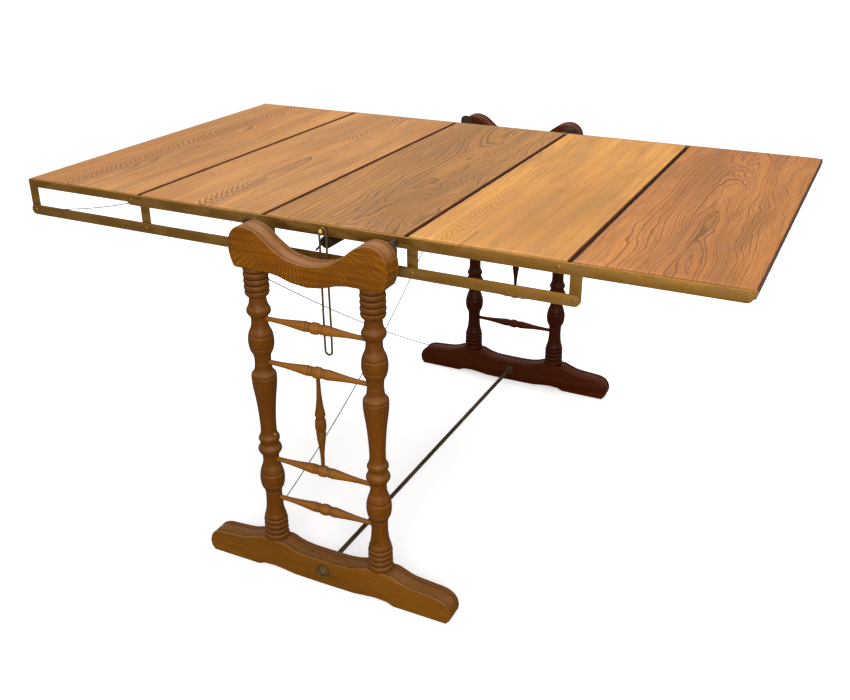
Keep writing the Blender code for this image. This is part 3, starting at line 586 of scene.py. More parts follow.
for wire in wires.values():
    wire.data.materials.append(steel)
METALS = (brass, bright_brass, dark_brass, nut_brass, iron, rod_iron, steel)
print("metals:", ", ".join(metal.name for metal in METALS))

# %% [markdown]
# ## Tools for shapes
# Three ways of making cover nearly everything here: a turned piece is a profile carried round an axis, a
# flat bar is an outline pushed through its thickness with its edges eased, and a moulded piece is an
# outline whose edge is stepped in and out across its thickness.


# %% Shape helpers
def smooth_line(points, steps):
    """A smooth line through points, flat ones or solid ones."""
    line = [tuple(points[0])]
    last = len(points) - 1
    for index in range(last):
        four = (points[max(index - 1, 0)], points[index], points[index + 1], points[min(index + 2, last)])
        for step in range(1, steps + 1):
            t = step / steps
            line.append(tuple(
                0.5 * (2 * b + (c - a) * t + (2 * a - 5 * b + 4 * c - d) * t**2
                       + (3 * b - a - 3 * c + d) * t**3)
                for a, b, c, d in zip(*four)
            ))
    return line


def arc(centre, radius, start, end, steps):
    """Points on an arc in a plane, angles in degrees."""
    angles = [math.radians(start + (end - start) * step / steps) for step in range(steps + 1)]
    return [(centre[0] + radius * math.cos(a), centre[1] + radius * math.sin(a)) for a in angles]


def skin(bm, rings):
    """Joins rings of vertices with faces, and closes both ends."""
    for lower, upper in zip(rings, rings[1:]):
        count = len(lower)
        for step in range(count):
            after = (step + 1) % count
            bm.faces.new((lower[step], lower[after], upper[after], upper[step]))
    bm.faces.new(rings[0])
    bm.faces.new(rings[-1])


def to_mesh(bm, name):
    bmesh.ops.recalc_face_normals(bm, faces=bm.faces)
    mesh = bpy.data.meshes.new(name)
    bm.to_mesh(mesh)
    bm.free()
    return mesh


def turned_mesh(name, profile, centre, axis="Z", sides=40, petals=0, petal_depth=0.0):
    """A turned solid from (distance along the axis, radius) points; petals make its rim wave."""
    bm = bmesh.new()
    rings = []
    for along, radius in profile:
        ring = []
        for step in range(sides):
            angle = math.tau * (step + 0.5) / sides
            wave = radius * (1 + petal_depth * math.cos(petals * angle))
            a, b = wave * math.cos(angle), wave * math.sin(angle)
            point = {"X": (along, a, b), "Y": (a, along, b), "Z": (a, b, along)}[axis]
            ring.append(bm.verts.new(Vector(point) + Vector(centre)))
        rings.append(ring)
    skin(bm, rings)
    return to_mesh(bm, name)


def bar_mesh(name, outline, near, far, ease):
    """An (x, z) outline between two y values, with its edges eased."""
    bm = bmesh.new()
    face = bm.faces.new([bm.verts.new((x, near, z)) for x, z in outline])
    made = bmesh.ops.extrude_face_region(bm, geom=[face])
    moved = [item for item in made["geom"] if isinstance(item, bmesh.types.BMVert)]
    bmesh.ops.translate(bm, vec=(0, far - near, 0), verts=moved)
    rims = [edge for edge in bm.edges if abs(edge.verts[0].co.y - edge.verts[1].co.y) < 1e-6]
    bmesh.ops.bevel(bm, geom=rims, offset=ease, segments=2, profile=0.6, affect="EDGES")
    return to_mesh(bm, name)


def settle(piece, finish, node=None, like=None):
    """Finishes a piece, and puts it on the body of the CAD node that it stands for, or that it is like."""
    piece.data.materials.append(finish)
    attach(piece, BODY_OF[node or like])
    if node:
        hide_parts(node)


def finish_piece(name, mesh, finish, node=None, like=None, sharp=38):
    """A mesh made into a piece. Edges that turn by more than sharp degrees stay crisp."""
    piece = bpy.data.objects.new(name, mesh)
    bpy.context.scene.collection.objects.link(piece)
    mesh.shade_smooth()
    mesh.set_sharp_from_angle(angle=math.radians(sharp))
    settle(piece, finish, node, like)


def screw_head(name, centre, sign, like, radius=0.0032, finish=None, turn=0.6):
    """A small slotted countersunk screw head, facing the way of sign along Y."""
    bm = bmesh.new()
    rings = []
    sides = 20
    for rise, size in ((0.0, 1.0), (0.0005, 0.97), (0.0008, 0.8), (0.0009, 0.4)):
        ring = []
        for step in range(sides):
            angle = math.tau * step / sides
            x, z = size * radius * math.cos(angle), size * radius * math.sin(angle)
            across = abs(x * math.sin(turn) - z * math.cos(turn))
            slot = 0.0006 if across < 0.17 * radius and rise > 0.0006 else 0.0
            ring.append(bm.verts.new((centre[0] + x, centre[1] + sign * (rise - slot), centre[2] + z)))
        rings.append(ring)
    skin(bm, rings)
    finish_piece(name, to_mesh(bm, name), finish or steel, like=like)


print("shape helpers ready")

# %% [markdown]
# ## The boards
# Each board is a rounded rectangle carried from one end to the other. Years of use have rubbed its long
# edges unevenly, so the corner radius wanders along the board, and a fine split opens in the fourth. Old
# dry wood has shrunk across the grain, so the gaps between the boards are wider than when they were new.

# %% Boards
BOARD_ROWS = 64
CORNER = 0.0024
CORNER_WOBBLE = 0.0006
END_EASE = 0.0012
SHRUNK = 0.0012
SPLIT_BOARD = 4
SPLIT_PLACE = 0.100
SPLIT_WIDTH = 0.0005
SPLIT_DEPTH = 0.0016
SPLIT_SHARE = 0.11
GUARD = 0.0007


def guard(point, angle, way):
    """A point on the straight side next to a corner, which keeps the corner's soft shading off the flat."""
    turn = math.radians(angle)
    return (point[0] - way * GUARD * math.sin(turn), point[1] + way * GUARD * math.cos(turn))


def board_section(low, high, corner, split_x, split_depth):
    """The board's (x, z) section: rounded corners, and the split as a small notch in its top."""
    middle_x = (low.x + high.x) / 2
    half_x = (high.x - low.x) / 2
    section = []
    for sign_x, sign_z, start in ((1, 1, 0), (-1, 1, 90), (-1, -1, 180), (1, -1, 270)):
        edge_z = high.z if sign_z > 0 else low.z
        centre = (middle_x + sign_x * (half_x - corner), edge_z - sign_z * corner)
        rounded = arc(centre, corner, start, start + 90, 4)
        section += [guard(rounded[0], start, -1), *rounded, guard(rounded[-1], start + 90, 1)]
        if start == 0:
            section += [
                (split_x + 2 * SPLIT_WIDTH, high.z), (split_x + SPLIT_WIDTH, high.z),
                (split_x, high.z - split_depth),
                (split_x - SPLIT_WIDTH, high.z), (split_x - 2 * SPLIT_WIDTH, high.z),
            ]
    return section


def board_piece(number):
    node = f"board_{number}"
    low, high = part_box(node)
    low.x += SHRUNK
    high.x -= SHRUNK
    dice = random.Random(number)
    wobble = [dice.uniform(-1, 1) for _ in range(BOARD_ROWS + 2)]
    rows = [low.y, low.y + END_EASE]
    rows += [low.y + (high.y - low.y) * step / BOARD_ROWS for step in range(1, BOARD_ROWS)]
    rows += [high.y - END_EASE, high.y]
    bm = bmesh.new()
    rings = []
    for index, y in enumerate(rows):
        corner = CORNER + CORNER_WOBBLE * wobble[min(index, BOARD_ROWS)]
        share = (y - low.y) / (high.y - low.y)
        opening = max(0.0, 1 - share / SPLIT_SHARE) if number == SPLIT_BOARD else 0.0
        split_x = low.x + SPLIT_PLACE + 0.0016 * math.sin(37 * share)
        section = board_section(low, high, corner, split_x, SPLIT_DEPTH * opening)
        inset = END_EASE * 0.7 if y in (low.y, high.y) else 0.0
        ring = []
        for x, z in section:
            x = min(max(x, low.x + inset), high.x - inset)
            z = min(max(z, low.z + inset), high.z - inset)
            ring.append(bm.verts.new((x, y, z)))
        rings.append(ring)
    skin(bm, rings)
    bmesh.ops.remove_doubles(bm, verts=bm.verts, dist=1e-6)
    finish_piece(f"{node}_plank", to_mesh(bm, node), board_finish[number], node=node)


for number in BOARD_LOOKS:
    board_piece(number)
print("boards:", len(BOARD_LOOKS))

# %% [markdown]
# ## The brass linkage
# Flat bar, cut and bent cold: two rails on each side, and an L bracket at each end of each board. The upper
# rail is riveted to the brackets' arms and the lower to their hanging legs, which keeps the boards level. The
# last pivot of each upper rail has a slotted screw instead of a rivet.

# %% Rails, brackets and their rivets
BAR_EASE = 0.0005
RIVET_RADIUS = 0.0040
RIVET_RISE = 0.0008
PIVOTS = 5
SCREWED_PIVOT = 4
INNER_BEND = 0.003
ARM_END = 0.62
rail_low, rail_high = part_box("front_upper_rail")
RAIL_HEIGHT = rail_high.z - rail_low.z
PITCH = (rail_high.x - rail_low.x - RAIL_HEIGHT) / (PIVOTS - 1)
RAIL_THICKNESS = 0.003
RAIL_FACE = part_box("back_bracket_1")[1].y + RAIL_THICKNESS + 0.0005


def rail_piece(side, level):
    node = f"{side}_{level}_rail"
    sign = SIDES[side]
    low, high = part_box(node)
    radius = RAIL_HEIGHT / 2
    middle = (low.z + high.z) / 2
    outline = arc((high.x - radius, middle), radius, -90, 90, 14)
    outline += arc((low.x + radius, middle), radius, 90, 270, 14)
    near, far = sorted((sign * (RAIL_FACE - RAIL_THICKNESS), sign * RAIL_FACE))
    finish_piece(f"{node}_bar", bar_mesh(node, outline, near, far, BAR_EASE), brass, node=node)
    for index in range(PIVOTS):
        x = low.x + radius + index * PITCH
        if level == "upper" and index == SCREWED_PIVOT:
            screw_head(f"{node}_screw", (x, sign * RAIL_FACE, middle), sign, node, 0.0046, brass)
            continue
        name = f"{node}_rivet_{index + 1}"
        dome = [(0.0, RIVET_RADIUS * 1.05), (0.0003, RIVET_RADIUS), (0.0006, RIVET_RADIUS * 0.8)]
        dome += [(RIVET_RISE, RIVET_RADIUS * 0.45), (RIVET_RISE, 0.0006)]
        profile = [(sign * (RAIL_FACE - 0.0001 + rise), size) for rise, size in dome]
        mesh = turned_mesh(name, profile, (x, 0, middle), "Y", 20)
        finish_piece(name, mesh, bright_brass if index == 2 else brass, like=node)


def bracket_piece(side, number):
    node = f"{side}_bracket_{number}"
    low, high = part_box(node)
    radius = RAIL_HEIGHT / 2
    arm = high.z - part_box(f"board_{number}")[0].z + 0.0005
    end = ARM_END * arm
    outline = arc((high.x - end, high.z - arm + end), end, -90, 0, 8) + [(high.x, high.z), (low.x, high.z)]
    outline += arc((low.x + radius, low.z + radius), radius, 180, 360, 14)
    corner = (low.x + 2 * radius + INNER_BEND, high.z - arm - INNER_BEND)
    outline += arc(corner, INNER_BEND, 180, 90, 5)
    mesh = bar_mesh(node, outline, low.y, high.y, 0.0004)
    finish_piece(f"{node}_bent", mesh, brass, node=node)


for side in SIDES:
    for level in ("upper", "lower"):
        rail_piece(side, level)
    for number in BOARD_LOOKS:
        bracket_piece(side, number)
print("rails 4, brackets 10, bay pitch", round(PITCH, 4), "m")

# %% [markdown]
# ## Pivot plates
# The middle board doesn't move. On each side two dark brass plates are screwed to the yoke's inner face, and
# a shouldered stud on each carries the rail and the middle board's bracket.

# %% Plates, studs and screws
STUDS = {"upper": PIVOT["top_turn"], "lower": PIVOT["lower_rail_turn"]}
PLATE_THICKNESS = 0.002
PLATE_CORNER = 0.012
PLATE_SCREW_INSET = 0.006
STUD_CLEARANCE = 0.011
STUD_WAIST = (0.4520, 0.0052)
STUD_SHOULDER = (0.4425, 0.0060)
STUD_STEP = 0.4406


def pivot_plate(side, level):
    node = f"{side}_{level}_pivot_plate"
    sign = SIDES[side]
    low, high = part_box(node)
    face = low.y if sign > 0 else high.y
    back = max(abs(low.y), abs(high.y))
    stud = STUDS[level]
    radius = min(PLATE_CORNER, (high.z - low.z) / 2 - 0.001)
    outline = arc((high.x - radius, low.z + radius), radius, -90, 0, 4)
    outline += arc((high.x - radius, high.z - radius), radius, 0, 90, 4)
    outline += arc((low.x + radius, high.z - radius), radius, 90, 180, 4)
    outline += arc((low.x + radius, low.z + radius), radius, 180, 270, 4)
    near, far = sorted((sign * (back - PLATE_THICKNESS), sign * back))
    finish_piece(f"{node}_cut", bar_mesh(node, outline, near, far, 0.0004), dark_brass, node=node)
    profile = [(back - 0.0015, 0.0060), (back - 0.004, 0.0058), STUD_WAIST, STUD_SHOULDER]
    profile += [(STUD_STEP, 0.0058), (STUD_STEP, 0.0040), (abs(face), 0.0038)]
    profile = [(sign * y, size) for y, size in profile]
    mesh = turned_mesh(node + "_stud", profile, (stud.x, 0, stud.z), "Y", 24)
    finish_piece(f"{node}_stud", mesh, dark_brass, like=node)
    left, right = low.x + PLATE_SCREW_INSET, high.x - PLATE_SCREW_INSET
    bottom, top = low.z + PLATE_SCREW_INSET, high.z - PLATE_SCREW_INSET
    for index, (x, z) in enumerate(((left, top), (right, top), (left, bottom), (right, bottom))):
        spot = Vector((x, sign * (back - PLATE_THICKNESS), z))
        if (spot.xz - stud.xz).length > STUD_CLEARANCE:
            screw_head(f"{node}_screw_{index + 1}", spot, -sign, node, turn=index)


for side in SIDES:
    for level in STUDS:
        pivot_plate(side, level)
print("pivot plates:", len(SIDES) * len(STUDS))

# %% [markdown]
# ## Keeper loops
# A ball pin in each upper rail carries a long closed loop of wire. When the stack stands upright, the loop
# drops over the hook of the latch bar. The pin is turned, and the loop is one closed curve whose long sides
# are a little bent, as handled wire is.

# %% Ball pins and loops
PIN_BALL = 0.005


def ball_pin(side):
    node = f"{side}_ball_pin"
    sign = SIDES[side]
    low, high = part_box(node)
    end = max(abs(low.y), abs(high.y))
    start = min(abs(low.y), abs(high.y))
    centre = ((low.x + high.x) / 2, 0, (low.z + high.z) / 2)
    washer = RAIL_FACE + 0.0003
    ball = end - 2 * PIN_BALL
    profile = [(start, 0.0015), (washer, 0.0015), (washer, 0.0040), (washer + 0.0006, 0.0040)]
    profile += [(washer + 0.0008, 0.0034), (washer + 0.0008, 0.0025), (ball + 0.0010, 0.0025)]
    for step in range(4, 19):
        angle = math.pi * step / 18.3
        profile.append((ball + PIN_BALL * (1 - math.cos(angle)), PIN_BALL * math.sin(angle)))
    profile = [(sign * y, size) for y, size in profile if y <= end]
    finish_piece(f"{node}_turned", turned_mesh(node, profile, centre, "Y", 28), bright_brass, node=node)


def keeper_loop(side):
    node = f"{side}_keeper_loop"
    low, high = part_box(node)
    radius = (high.y - low.y) / 2
    half = (high.x - low.x) / 2 - radius
    x = (low.x + high.x) / 2
    y = (low.y + high.y) / 2
    top = high.z - radius - half
    bottom = low.z + radius + half
    drop = bottom - top
    downwards = (0.2, 0.4, 0.6, 0.8)
    outline = arc((x, top), half, 0, 180, 16)
    outline += [(x - half + 0.0004 * math.sin(6 * t), top + drop * t) for t in downwards]
    outline += arc((x, bottom), half, 180, 360, 16)
    outline += [(x + half - 0.0005 * math.sin(5 * t), top + drop * t) for t in downwards[::-1]]
    points = [(px, y, pz) for px, pz in outline]
    settle(wire_piece(f"{node}_bent", points, radius, closed=True), nut_brass, node=node)


for side in SIDES:
    ball_pin(side)
    keeper_loop(side)
print("ball pins 2, keeper loops 2")

# %% [markdown]
# ## The latch bar
# A round iron bar lies under the middle board in two strap saddles. Its ends stop just short of the
# brackets, and a bent wire hook crosses each end.

# %% Latch bar, hooks, saddles and batten
HOOK_RADIUS = 0.002
HOOK_ROUTE = (
    (0.0, 0.4260, 0.0030), (0.0, 0.4350, 0.0035), (-0.0030, 0.4385, 0.0010), (-0.0095, 0.4392, -0.0070),
    (-0.0165, 0.4385, -0.0145),
)
latch = PIVOT["latch_turn"]
LATCH_HALF = 0.431
LATCH_RADIUS = 0.012
STRAP_THICKNESS = 0.0025


def latch_bar():
    ease = 0.0016
    half = [(LATCH_HALF - ease, LATCH_RADIUS), (LATCH_HALF - ease / 3, LATCH_RADIUS - ease / 3)]
    half += [(LATCH_HALF, LATCH_RADIUS - ease), (LATCH_HALF, 0.0045), (LATCH_HALF - 0.0012, 0.0040)]
    rings = [(-y, size) for y, size in half[::-1]] + half
    finish_piece("latch_bar_round", turned_mesh("latch", rings, latch, "Y", 36), iron, node="latch_bar")
    for side, sign in SIDES.items():
        route = smooth_line([(x, sign * y, z) for x, y, z in HOOK_ROUTE], 6)
        points = [Vector(point) + latch for point in route]
        settle(wire_piece(f"{side}_latch_hook", points, HOOK_RADIUS), iron, like="latch_bar")


def saddle(side):
    node = f"{side}_latch_saddle"
    low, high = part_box(node)
    inner = LATCH_RADIUS + 0.0006
    outer = inner + STRAP_THICKNESS
    flange = high.z - STRAP_THICKNESS
    x = (low.x + high.x) / 2
    outline = [(x + inner, high.z), (high.x, high.z), (high.x, flange), (x + outer, flange)]
    outline += arc((x, latch.z), outer, 360, 180, 20)
    outline += [(x - outer, flange), (low.x, flange), (low.x, high.z), (x - inner, high.z)]
    outline += arc((x, latch.z), inner, 180, 360, 20)
    finish_piece(f"{node}_strap", bar_mesh(node, outline, low.y, high.y, 0.0004), iron, node=node)


def batten():
    """Planed: its lower edges are chamfered, and its ends taper a little."""
    low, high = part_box("board_3_batten")
    rings = []
    bm = bmesh.new()
    for y, inset in ((low.y, 0.004), (low.y + 0.004, 0.0006), (high.y - 0.004, 0.0006), (high.y, 0.004)):
        left, right, under = low.x + inset, high.x - inset, low.z + inset / 2
        corners = (
            (left, high.z), (right, high.z), (right, under + 0.002),
            (right - 0.003, under), (left + 0.003, under), (left, under + 0.002),
        )
        rings.append([bm.verts.new((x, y, z)) for x, z in corners])
    skin(bm, rings)
    finish_piece("board_3_batten_planed", to_mesh(bm, "batten"), board_finish[3], node="board_3_batten")


latch_bar()
for side in SIDES:
    saddle(side)
batten()
print("latch bar", round(2 * LATCH_HALF, 3), "m long")

# %% [markdown]
# ## The turned posts
# A post is turned between centres: vases, beads and stacked rings over a long taper. Its profile is a list
# of stretches, each with the height and radius that it reaches and how far it bulges, and fine grooves are
# then scribed into it. These are millimetres, as a turner would mark them on a stick. Turning it at 48 sides
# leaves a round silhouette.

# %% Posts
POST_START = 24.4
POST_STRETCHES = (
    (13, 22.6, 2.0), (25, 22.4, 2.1), (37, 22.4, 2.1), (48, 22.4, 2.0), (58, 20.6, 0.9),
    (76, 17.4, -0.5), (94, 16.4, -0.3), (108, 16.5, 0), (117, 17.8, 0), (125, 22.4, 0.4),
    (160, 22.6, 2.4), (169, 20, 0), (176, 17.4, -0.3), (184, 16, -0.2), (195, 16.2, 0),
    (203, 20.6, 0), (217, 21.4, 2.6), (223, 18.3, 0), (227, 18.2, 0), (241, 18.4, 2.7),
    (249, 15.9, -0.3), (262, 15.6, 0), (300, 17.6, -0.25), (340, 22.1, -0.4), (364, 24.5, 0.3),
    (375, 24.2, 0.2), (379, 22.6, 0.3), (380.5, 20.6, 0), (389, 17, -0.6), (399, 15.9, 0),
    (409, 15.9, 0), (420, 18.2, -0.3), (428, 22.4, 0.4), (463, 22.6, 2.4), (472, 18.6, 0.2),
    (481, 16.2, -0.2), (491, 15.6, 0), (498, 17.8, -0.2), (503, 22, 0.3), (513, 22, 1.1),
    (524, 17.4, -0.6), (535.5, 16, 0), (539.5, 21, 0.6), (550, 22.0, 1.9), (562, 21.8, 2.1),
    (574, 21.8, 2.1), (586, 21.8, 2.1), (596, 21.8, 1.6),
)
# Heights of the grooves, half their width and their depth: between stacked rings, and finely scribed
GROOVES = (
    ((13, 25, 37, 48, 550, 562, 574, 586), 1.9, 2.4),
    ((112, 130, 155, 401, 433, 458, 371), 1.1, 1.0),
)
POST_END = 595.6


def radius_at(profile, height):
    for (low, first), (high, second) in zip(profile, profile[1:]):
        if low <= height <= high:
            return first + (second - first) * (height - low) / max(high - low, 1e-9)
    return profile[-1][1]


def post_profile():
    """(height, radius) points in millimetres above the post's seat."""
    line = [(0.0, POST_START)]
    before, start = 0.0, POST_START
    for height, radius, bulge in POST_STRETCHES:
        steps = 7 if bulge else 2
        for step in range(1, steps + 1):
            t = step / steps
            swell = 4 * bulge * t * (1 - t)
            line.append((before + (height - before) * t, start + (radius - start) * t + swell))
        before, start = height, radius
    for heights, half_width, depth in GROOVES:
        for height in heights:
            kept = [point for point in line if abs(point[0] - height) > half_width]
            cut = [
                (height + aside, radius_at(line, height + aside) - deep)
                for aside, deep in ((-half_width, 0.0), (0.0, depth), (half_width, 0.0))
            ]
            line = sorted(kept + cut)
    return line


SEAT = PIVOT["top_turn"].z - 0.6565
YOKE_SEAT = 0.668
POST_OFFSET = 0.1225
post_rows = [(SEAT + up / 1000, radius / 1000) for up, radius in post_profile() if up < POST_END]
for side, sign in SIDES.items():
    for end, end_sign in (("left", -1), ("right", 1)):
        node = f"{side}_{end}_post"
        low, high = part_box(node)
        centre = (end_sign * POST_OFFSET, (low.y + high.y) / 2, 0)
        mesh = turned_mesh(node, post_rows, centre, "Z", 48)
        finish_piece(f"{node}_turned", mesh, oak_finish[side, "turned"], node=node, sharp=55)
print("posts 4, profile of", len(post_rows), "points")

# %% [markdown]
# ## Spindles
# Four slim spindles cross each trestle and a fifth stands between the middle two. Each has a ball in its
# middle with a bead on both sides, and then a long cone. They are lighter than the posts.

# %% Spindles
SPINDLE_HALF = (
    (0, 11.7), (3, 11.6), (6, 11.1), (9, 9.9), (11, 8.9), (12, 8.1), (13, 9.2), (14.2, 9.9), (15.5, 10),
    (16.8, 9.6), (18, 8.4), (18.8, 9.7), (20, 10.3), (23, 10.4), (34, 9.2), (48, 7.7), (64, 6.2), (80, 5.2),
    (95, 4.8), (106, 4.7),
)
UPRIGHT = (
    (0, 3.8), (12, 3.9), (28, 4.4), (46, 6.2), (58, 8.0), (64, 8.7), (69, 8.8), (71, 7.9), (72.5, 9.5),
    (75, 9.9), (77, 8.6), (78, 8.1), (80, 9.6), (84, 10.6), (90, 11.0), (98, 10.7), (104, 9.9), (106, 8.4),
    (108, 8.2), (110, 8.8), (113, 10.0), (116, 10.3), (121, 9.2), (130, 7.6), (150, 5.4), (172, 4.2),
    (192, 3.8),
)


def spindle(side, number):
    node = f"{side}_cross_spindle_{number}"
    low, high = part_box(node)
    half = [(x / 1000, radius / 1000) for x, radius in SPINDLE_HALF]
    profile = [(-x, radius) for x, radius in half[:0:-1]] + half
    centre = ((low.x + high.x) / 2, (low.y + high.y) / 2, (low.z + high.z) / 2)
    mesh = turned_mesh(node, profile, centre, "X", 28)
    finish_piece(f"{node}_turned", mesh, oak_finish[side, "spindle"], node=node, sharp=50)


def upright(side):
    node = f"{side}_upright_spindle"
    low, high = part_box(node)
    stretch = (high.z - low.z) / (UPRIGHT[-1][0] / 1000)
    profile = [(low.z + height / 1000 * stretch, radius / 1000) for height, radius in UPRIGHT]
    centre = ((low.x + high.x) / 2, (low.y + high.y) / 2, 0)
    mesh = turned_mesh(node, profile, centre, "Z", 28)
    finish_piece(f"{node}_turned", mesh, oak_finish[side, "upright"], node=node, sharp=50)


for side in SIDES:
    for number in range(1, 5):
        spindle(side, number)
    upright(side)
print("spindles 10")

# %% [markdown]
# ## The sawn yoke and foot
# Both are sawn from 44 mm oak. Their top edge is then moulded with two beads along each face, with a flat
# band between. The outline is drawn once, and each step across the thickness is that outline pulled in by
# the moulding's depth, which fades out on the underside.

# %% Moulded pieces
YOKE_TOP = (
    (0.0, 0.6930), (0.020, 0.6945), (0.046, 0.7010), (0.073, 0.7180), (0.094, 0.7350), (0.110, 0.7440),
    (0.128, 0.7475), (0.146, 0.7430), (0.159, 0.7290), (0.1640, 0.7080), (0.1610, 0.6850), (0.155, 0.6710),
)
YOKE_BOTTOM = (
    (0.150, YOKE_SEAT), (0.116, YOKE_SEAT), (0.082, YOKE_SEAT), (0.060, 0.6645), (0.033, 0.6560),
    (0.0, 0.6520),
)
FOOT_TOP = (
    (0.0, 0.0580), (0.045, 0.0590), (0.072, 0.0635), (0.089, 0.0700), (0.097, SEAT), (0.124, SEAT),
    (0.151, SEAT), (0.165, 0.0675), (0.190, 0.0590), (0.230, 0.0550), (0.258, 0.0520), (0.276, 0.0420),
    (0.284, 0.0240), (0.282, 0.0090),
)
FOOT_BOTTOM = (
    (0.274, 0.0), (0.217, 0.0), (0.160, 0.0), (0.145, 0.0065), (0.120, 0.0080), (0.095, 0.0055),
    (0.070, 0.0020), (0.0, 0.0015),
)
# Across half the thickness, from the face inwards: (distance from the face, depth), in millimetres
MOULDING = (
    (0.0, 2.6), (0.5, 1.5), (1.4, 0.5), (2.6, 0.1), (3.8, 0.4), (4.6, 1.6), (5.1, 3.2), (5.8, 1.8),
    (6.8, 0.5), (8.0, 0.1), (9.2, 0.6), (10.0, 1.7), (10.5, 3.0), (11.2, 1.6), (12.2, 0.9), (14.5, 0.5),
    (18.0, 0.3), (22.0, 0.25),
)
HALF_THICKNESS = 22.0
FACE_EASE = 0.5
FACE_EASE_WIDTH = 0.4


def moulded_mesh(name, top, bottom, plane, ceiling=None, steps=9):
    """A mirrored outline, moulded along its top, between flat faces half its thickness from the plane."""
    upper = smooth_line(top, steps)
    if ceiling:
        upper = [(x, min(z, ceiling)) for x, z in upper]
    half = upper + list(bottom)
    fade = [1.0] * (len(upper) - steps) + [1 - step / steps for step in range(steps)] + [0.0] * len(bottom)
    outline = half + [(-x, z) for x, z in half[-2:0:-1]]
    fade = fade + fade[-2:0:-1]
    count = len(outline)
    pulls = []
    for index in range(count):
        before, after = Vector(outline[index - 1]), Vector(outline[(index + 1) % count])
        along = (after - before).normalized()
        pulls.append(Vector((along.y, -along.x)))
    across = [(-HALF_THICKNESS + d, depth) for d, depth in MOULDING]
    across += [(HALF_THICKNESS - d, depth) for d, depth in MOULDING[-2::-1]]
    bm = bmesh.new()
    rings = []
    for offset, depth in across:
        ring = []
        for (x, z), pull, share in zip(outline, pulls, fade):
            plain = FACE_EASE if abs(offset) > HALF_THICKNESS - FACE_EASE_WIDTH else 0.0
            inset = (depth * share + plain * (1 - share)) / 1000
            ring.append(bm.verts.new((x + pull.x * inset, plane + offset / 1000, z + pull.y * inset)))
        rings.append(ring)
    skin(bm, rings)
    return to_mesh(bm, name)


for side in SIDES:
    for kind, top, bottom, ceiling in (
        ("yoke", YOKE_TOP, YOKE_BOTTOM, None), ("foot", FOOT_TOP, FOOT_BOTTOM, SEAT),
    ):
        node = f"{side}_{kind}"
        low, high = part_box(node)
        mesh = moulded_mesh(node, top, bottom, (low.y + high.y) / 2, ceiling)
        finish_piece(f"{node}_carved", mesh, oak_finish[side, kind], node=node, sharp=30)
print("yokes 2, feet 2")

# %% [markdown]
# ## The stretcher rod
# An iron rod ties the two feet together. A collar bears on each foot's inner face, and a cast brass nut
# with a lobed boss draws it tight outside.

# %% Rod and nuts
ROD_RADIUS = 0.005
ROD_EASE = 0.0006
ROD_WEAR = 0.00035
WAVE_START = 0.46
WAVE_STEP = 0.02
COLLAR = ((-0.0042, ROD_RADIUS), (-0.0040, 0.0100), (-0.0034, 0.0110), (-0.0006, 0.0110), (0.0, 0.0104))
rod_low, rod_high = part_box("stretcher_rod")
rod_centre = (0, 0, (rod_low.z + rod_high.z) / 2)
inner_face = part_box("back_foot")[0].y - 0.0003
half = [(inner_face + back, size) for back, size in COLLAR] + [(inner_face, ROD_RADIUS)]
half += [(rod_high.y - ROD_EASE, ROD_RADIUS), (rod_high.y, ROD_RADIUS - ROD_EASE)]
dice = random.Random(3)
steps = range(round(2 * WAVE_START / WAVE_STEP) + 1)
waves = [(-WAVE_START + WAVE_STEP * step, ROD_RADIUS - dice.uniform(0, ROD_WEAR)) for step in steps]
rows = [(-y, size) for y, size in half[::-1]] + waves + half
rod_mesh = turned_mesh("rod", rows, rod_centre, "Y", 24)
finish_piece("stretcher_rod_forged", rod_mesh, rod_iron, node="stretcher_rod")


# A nut's base and boss: (share of its height, share of its radius)
NUT_BASE = (
    (0.0, 0.90), (0.12, 1.0), (0.45, 1.0), (0.55, 0.95), (0.56, 0.84), (0.48, 0.80), (0.47, 0.68),
    (0.45, 0.3),
)
NUT_BOSS = ((0.42, 0.70), (0.62, 0.69), (0.80, 0.61), (0.92, 0.45), (0.98, 0.26), (1.0, 0.05))


def rod_nut(side):
    node = f"{side}_rod_nut"
    sign = SIDES[side]
    low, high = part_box(node)
    face = min(abs(low.y), abs(high.y))
    rise = max(abs(low.y), abs(high.y)) - face
    radius = (high.x - low.x) / 2
    profile = [(sign * (face + share * rise), size * radius) for share, size in NUT_BASE]
    finish_piece(f"{node}_cast", turned_mesh(node, profile, rod_centre, "Y", 40), nut_brass, node=node)
    profile = [(sign * (face + share * rise), size * radius) for share, size in NUT_BOSS]
    mesh = turned_mesh(node + "_boss", profile, rod_centre, "Y", 40, petals=4, petal_depth=0.14)
    finish_piece(f"{node}_boss", mesh, nut_brass, like=node)


for side in SIDES:
    rod_nut(side)
print("rod", round(rod_high.y - rod_low.y, 3), "m long")

# %% [markdown]
# ## Screw eyes and twisted wire ends
# The brace wires are hooked through small screw eyes. Both their ends, and the low end of the stay wire, are
# twisted back on themselves. An eye is a wire bent into a ring on a shank, and a twist is a short helix round
# the wire's own first centimetres.

# %% Eyes and twists
EYE_RING = 0.0045
EYE_WIRE = 0.0011
TWIST_WIRE = 0.0007
TURN_STEPS = 10


def screw_eye(number, place, centre, shank_way):
    """A ring about the centre with its shank running the given way."""
    node = f"brace_eye_{number}_{place}"
    shank_way = Vector(shank_way)
    points = [centre + shank_way * 0.017, centre + shank_way * 0.011, centre + shank_way * EYE_RING]
    for step in range(1, 21):
        angle = math.radians(90 - 322 * step / 20)
        x, up = EYE_RING * math.cos(angle), EYE_RING * math.sin(angle)
        points.append(centre + Vector((x, 0, 0)) + shank_way * up)
    settle(wire_piece(f"{node}_bent", points, EYE_WIRE), steel, node=node)


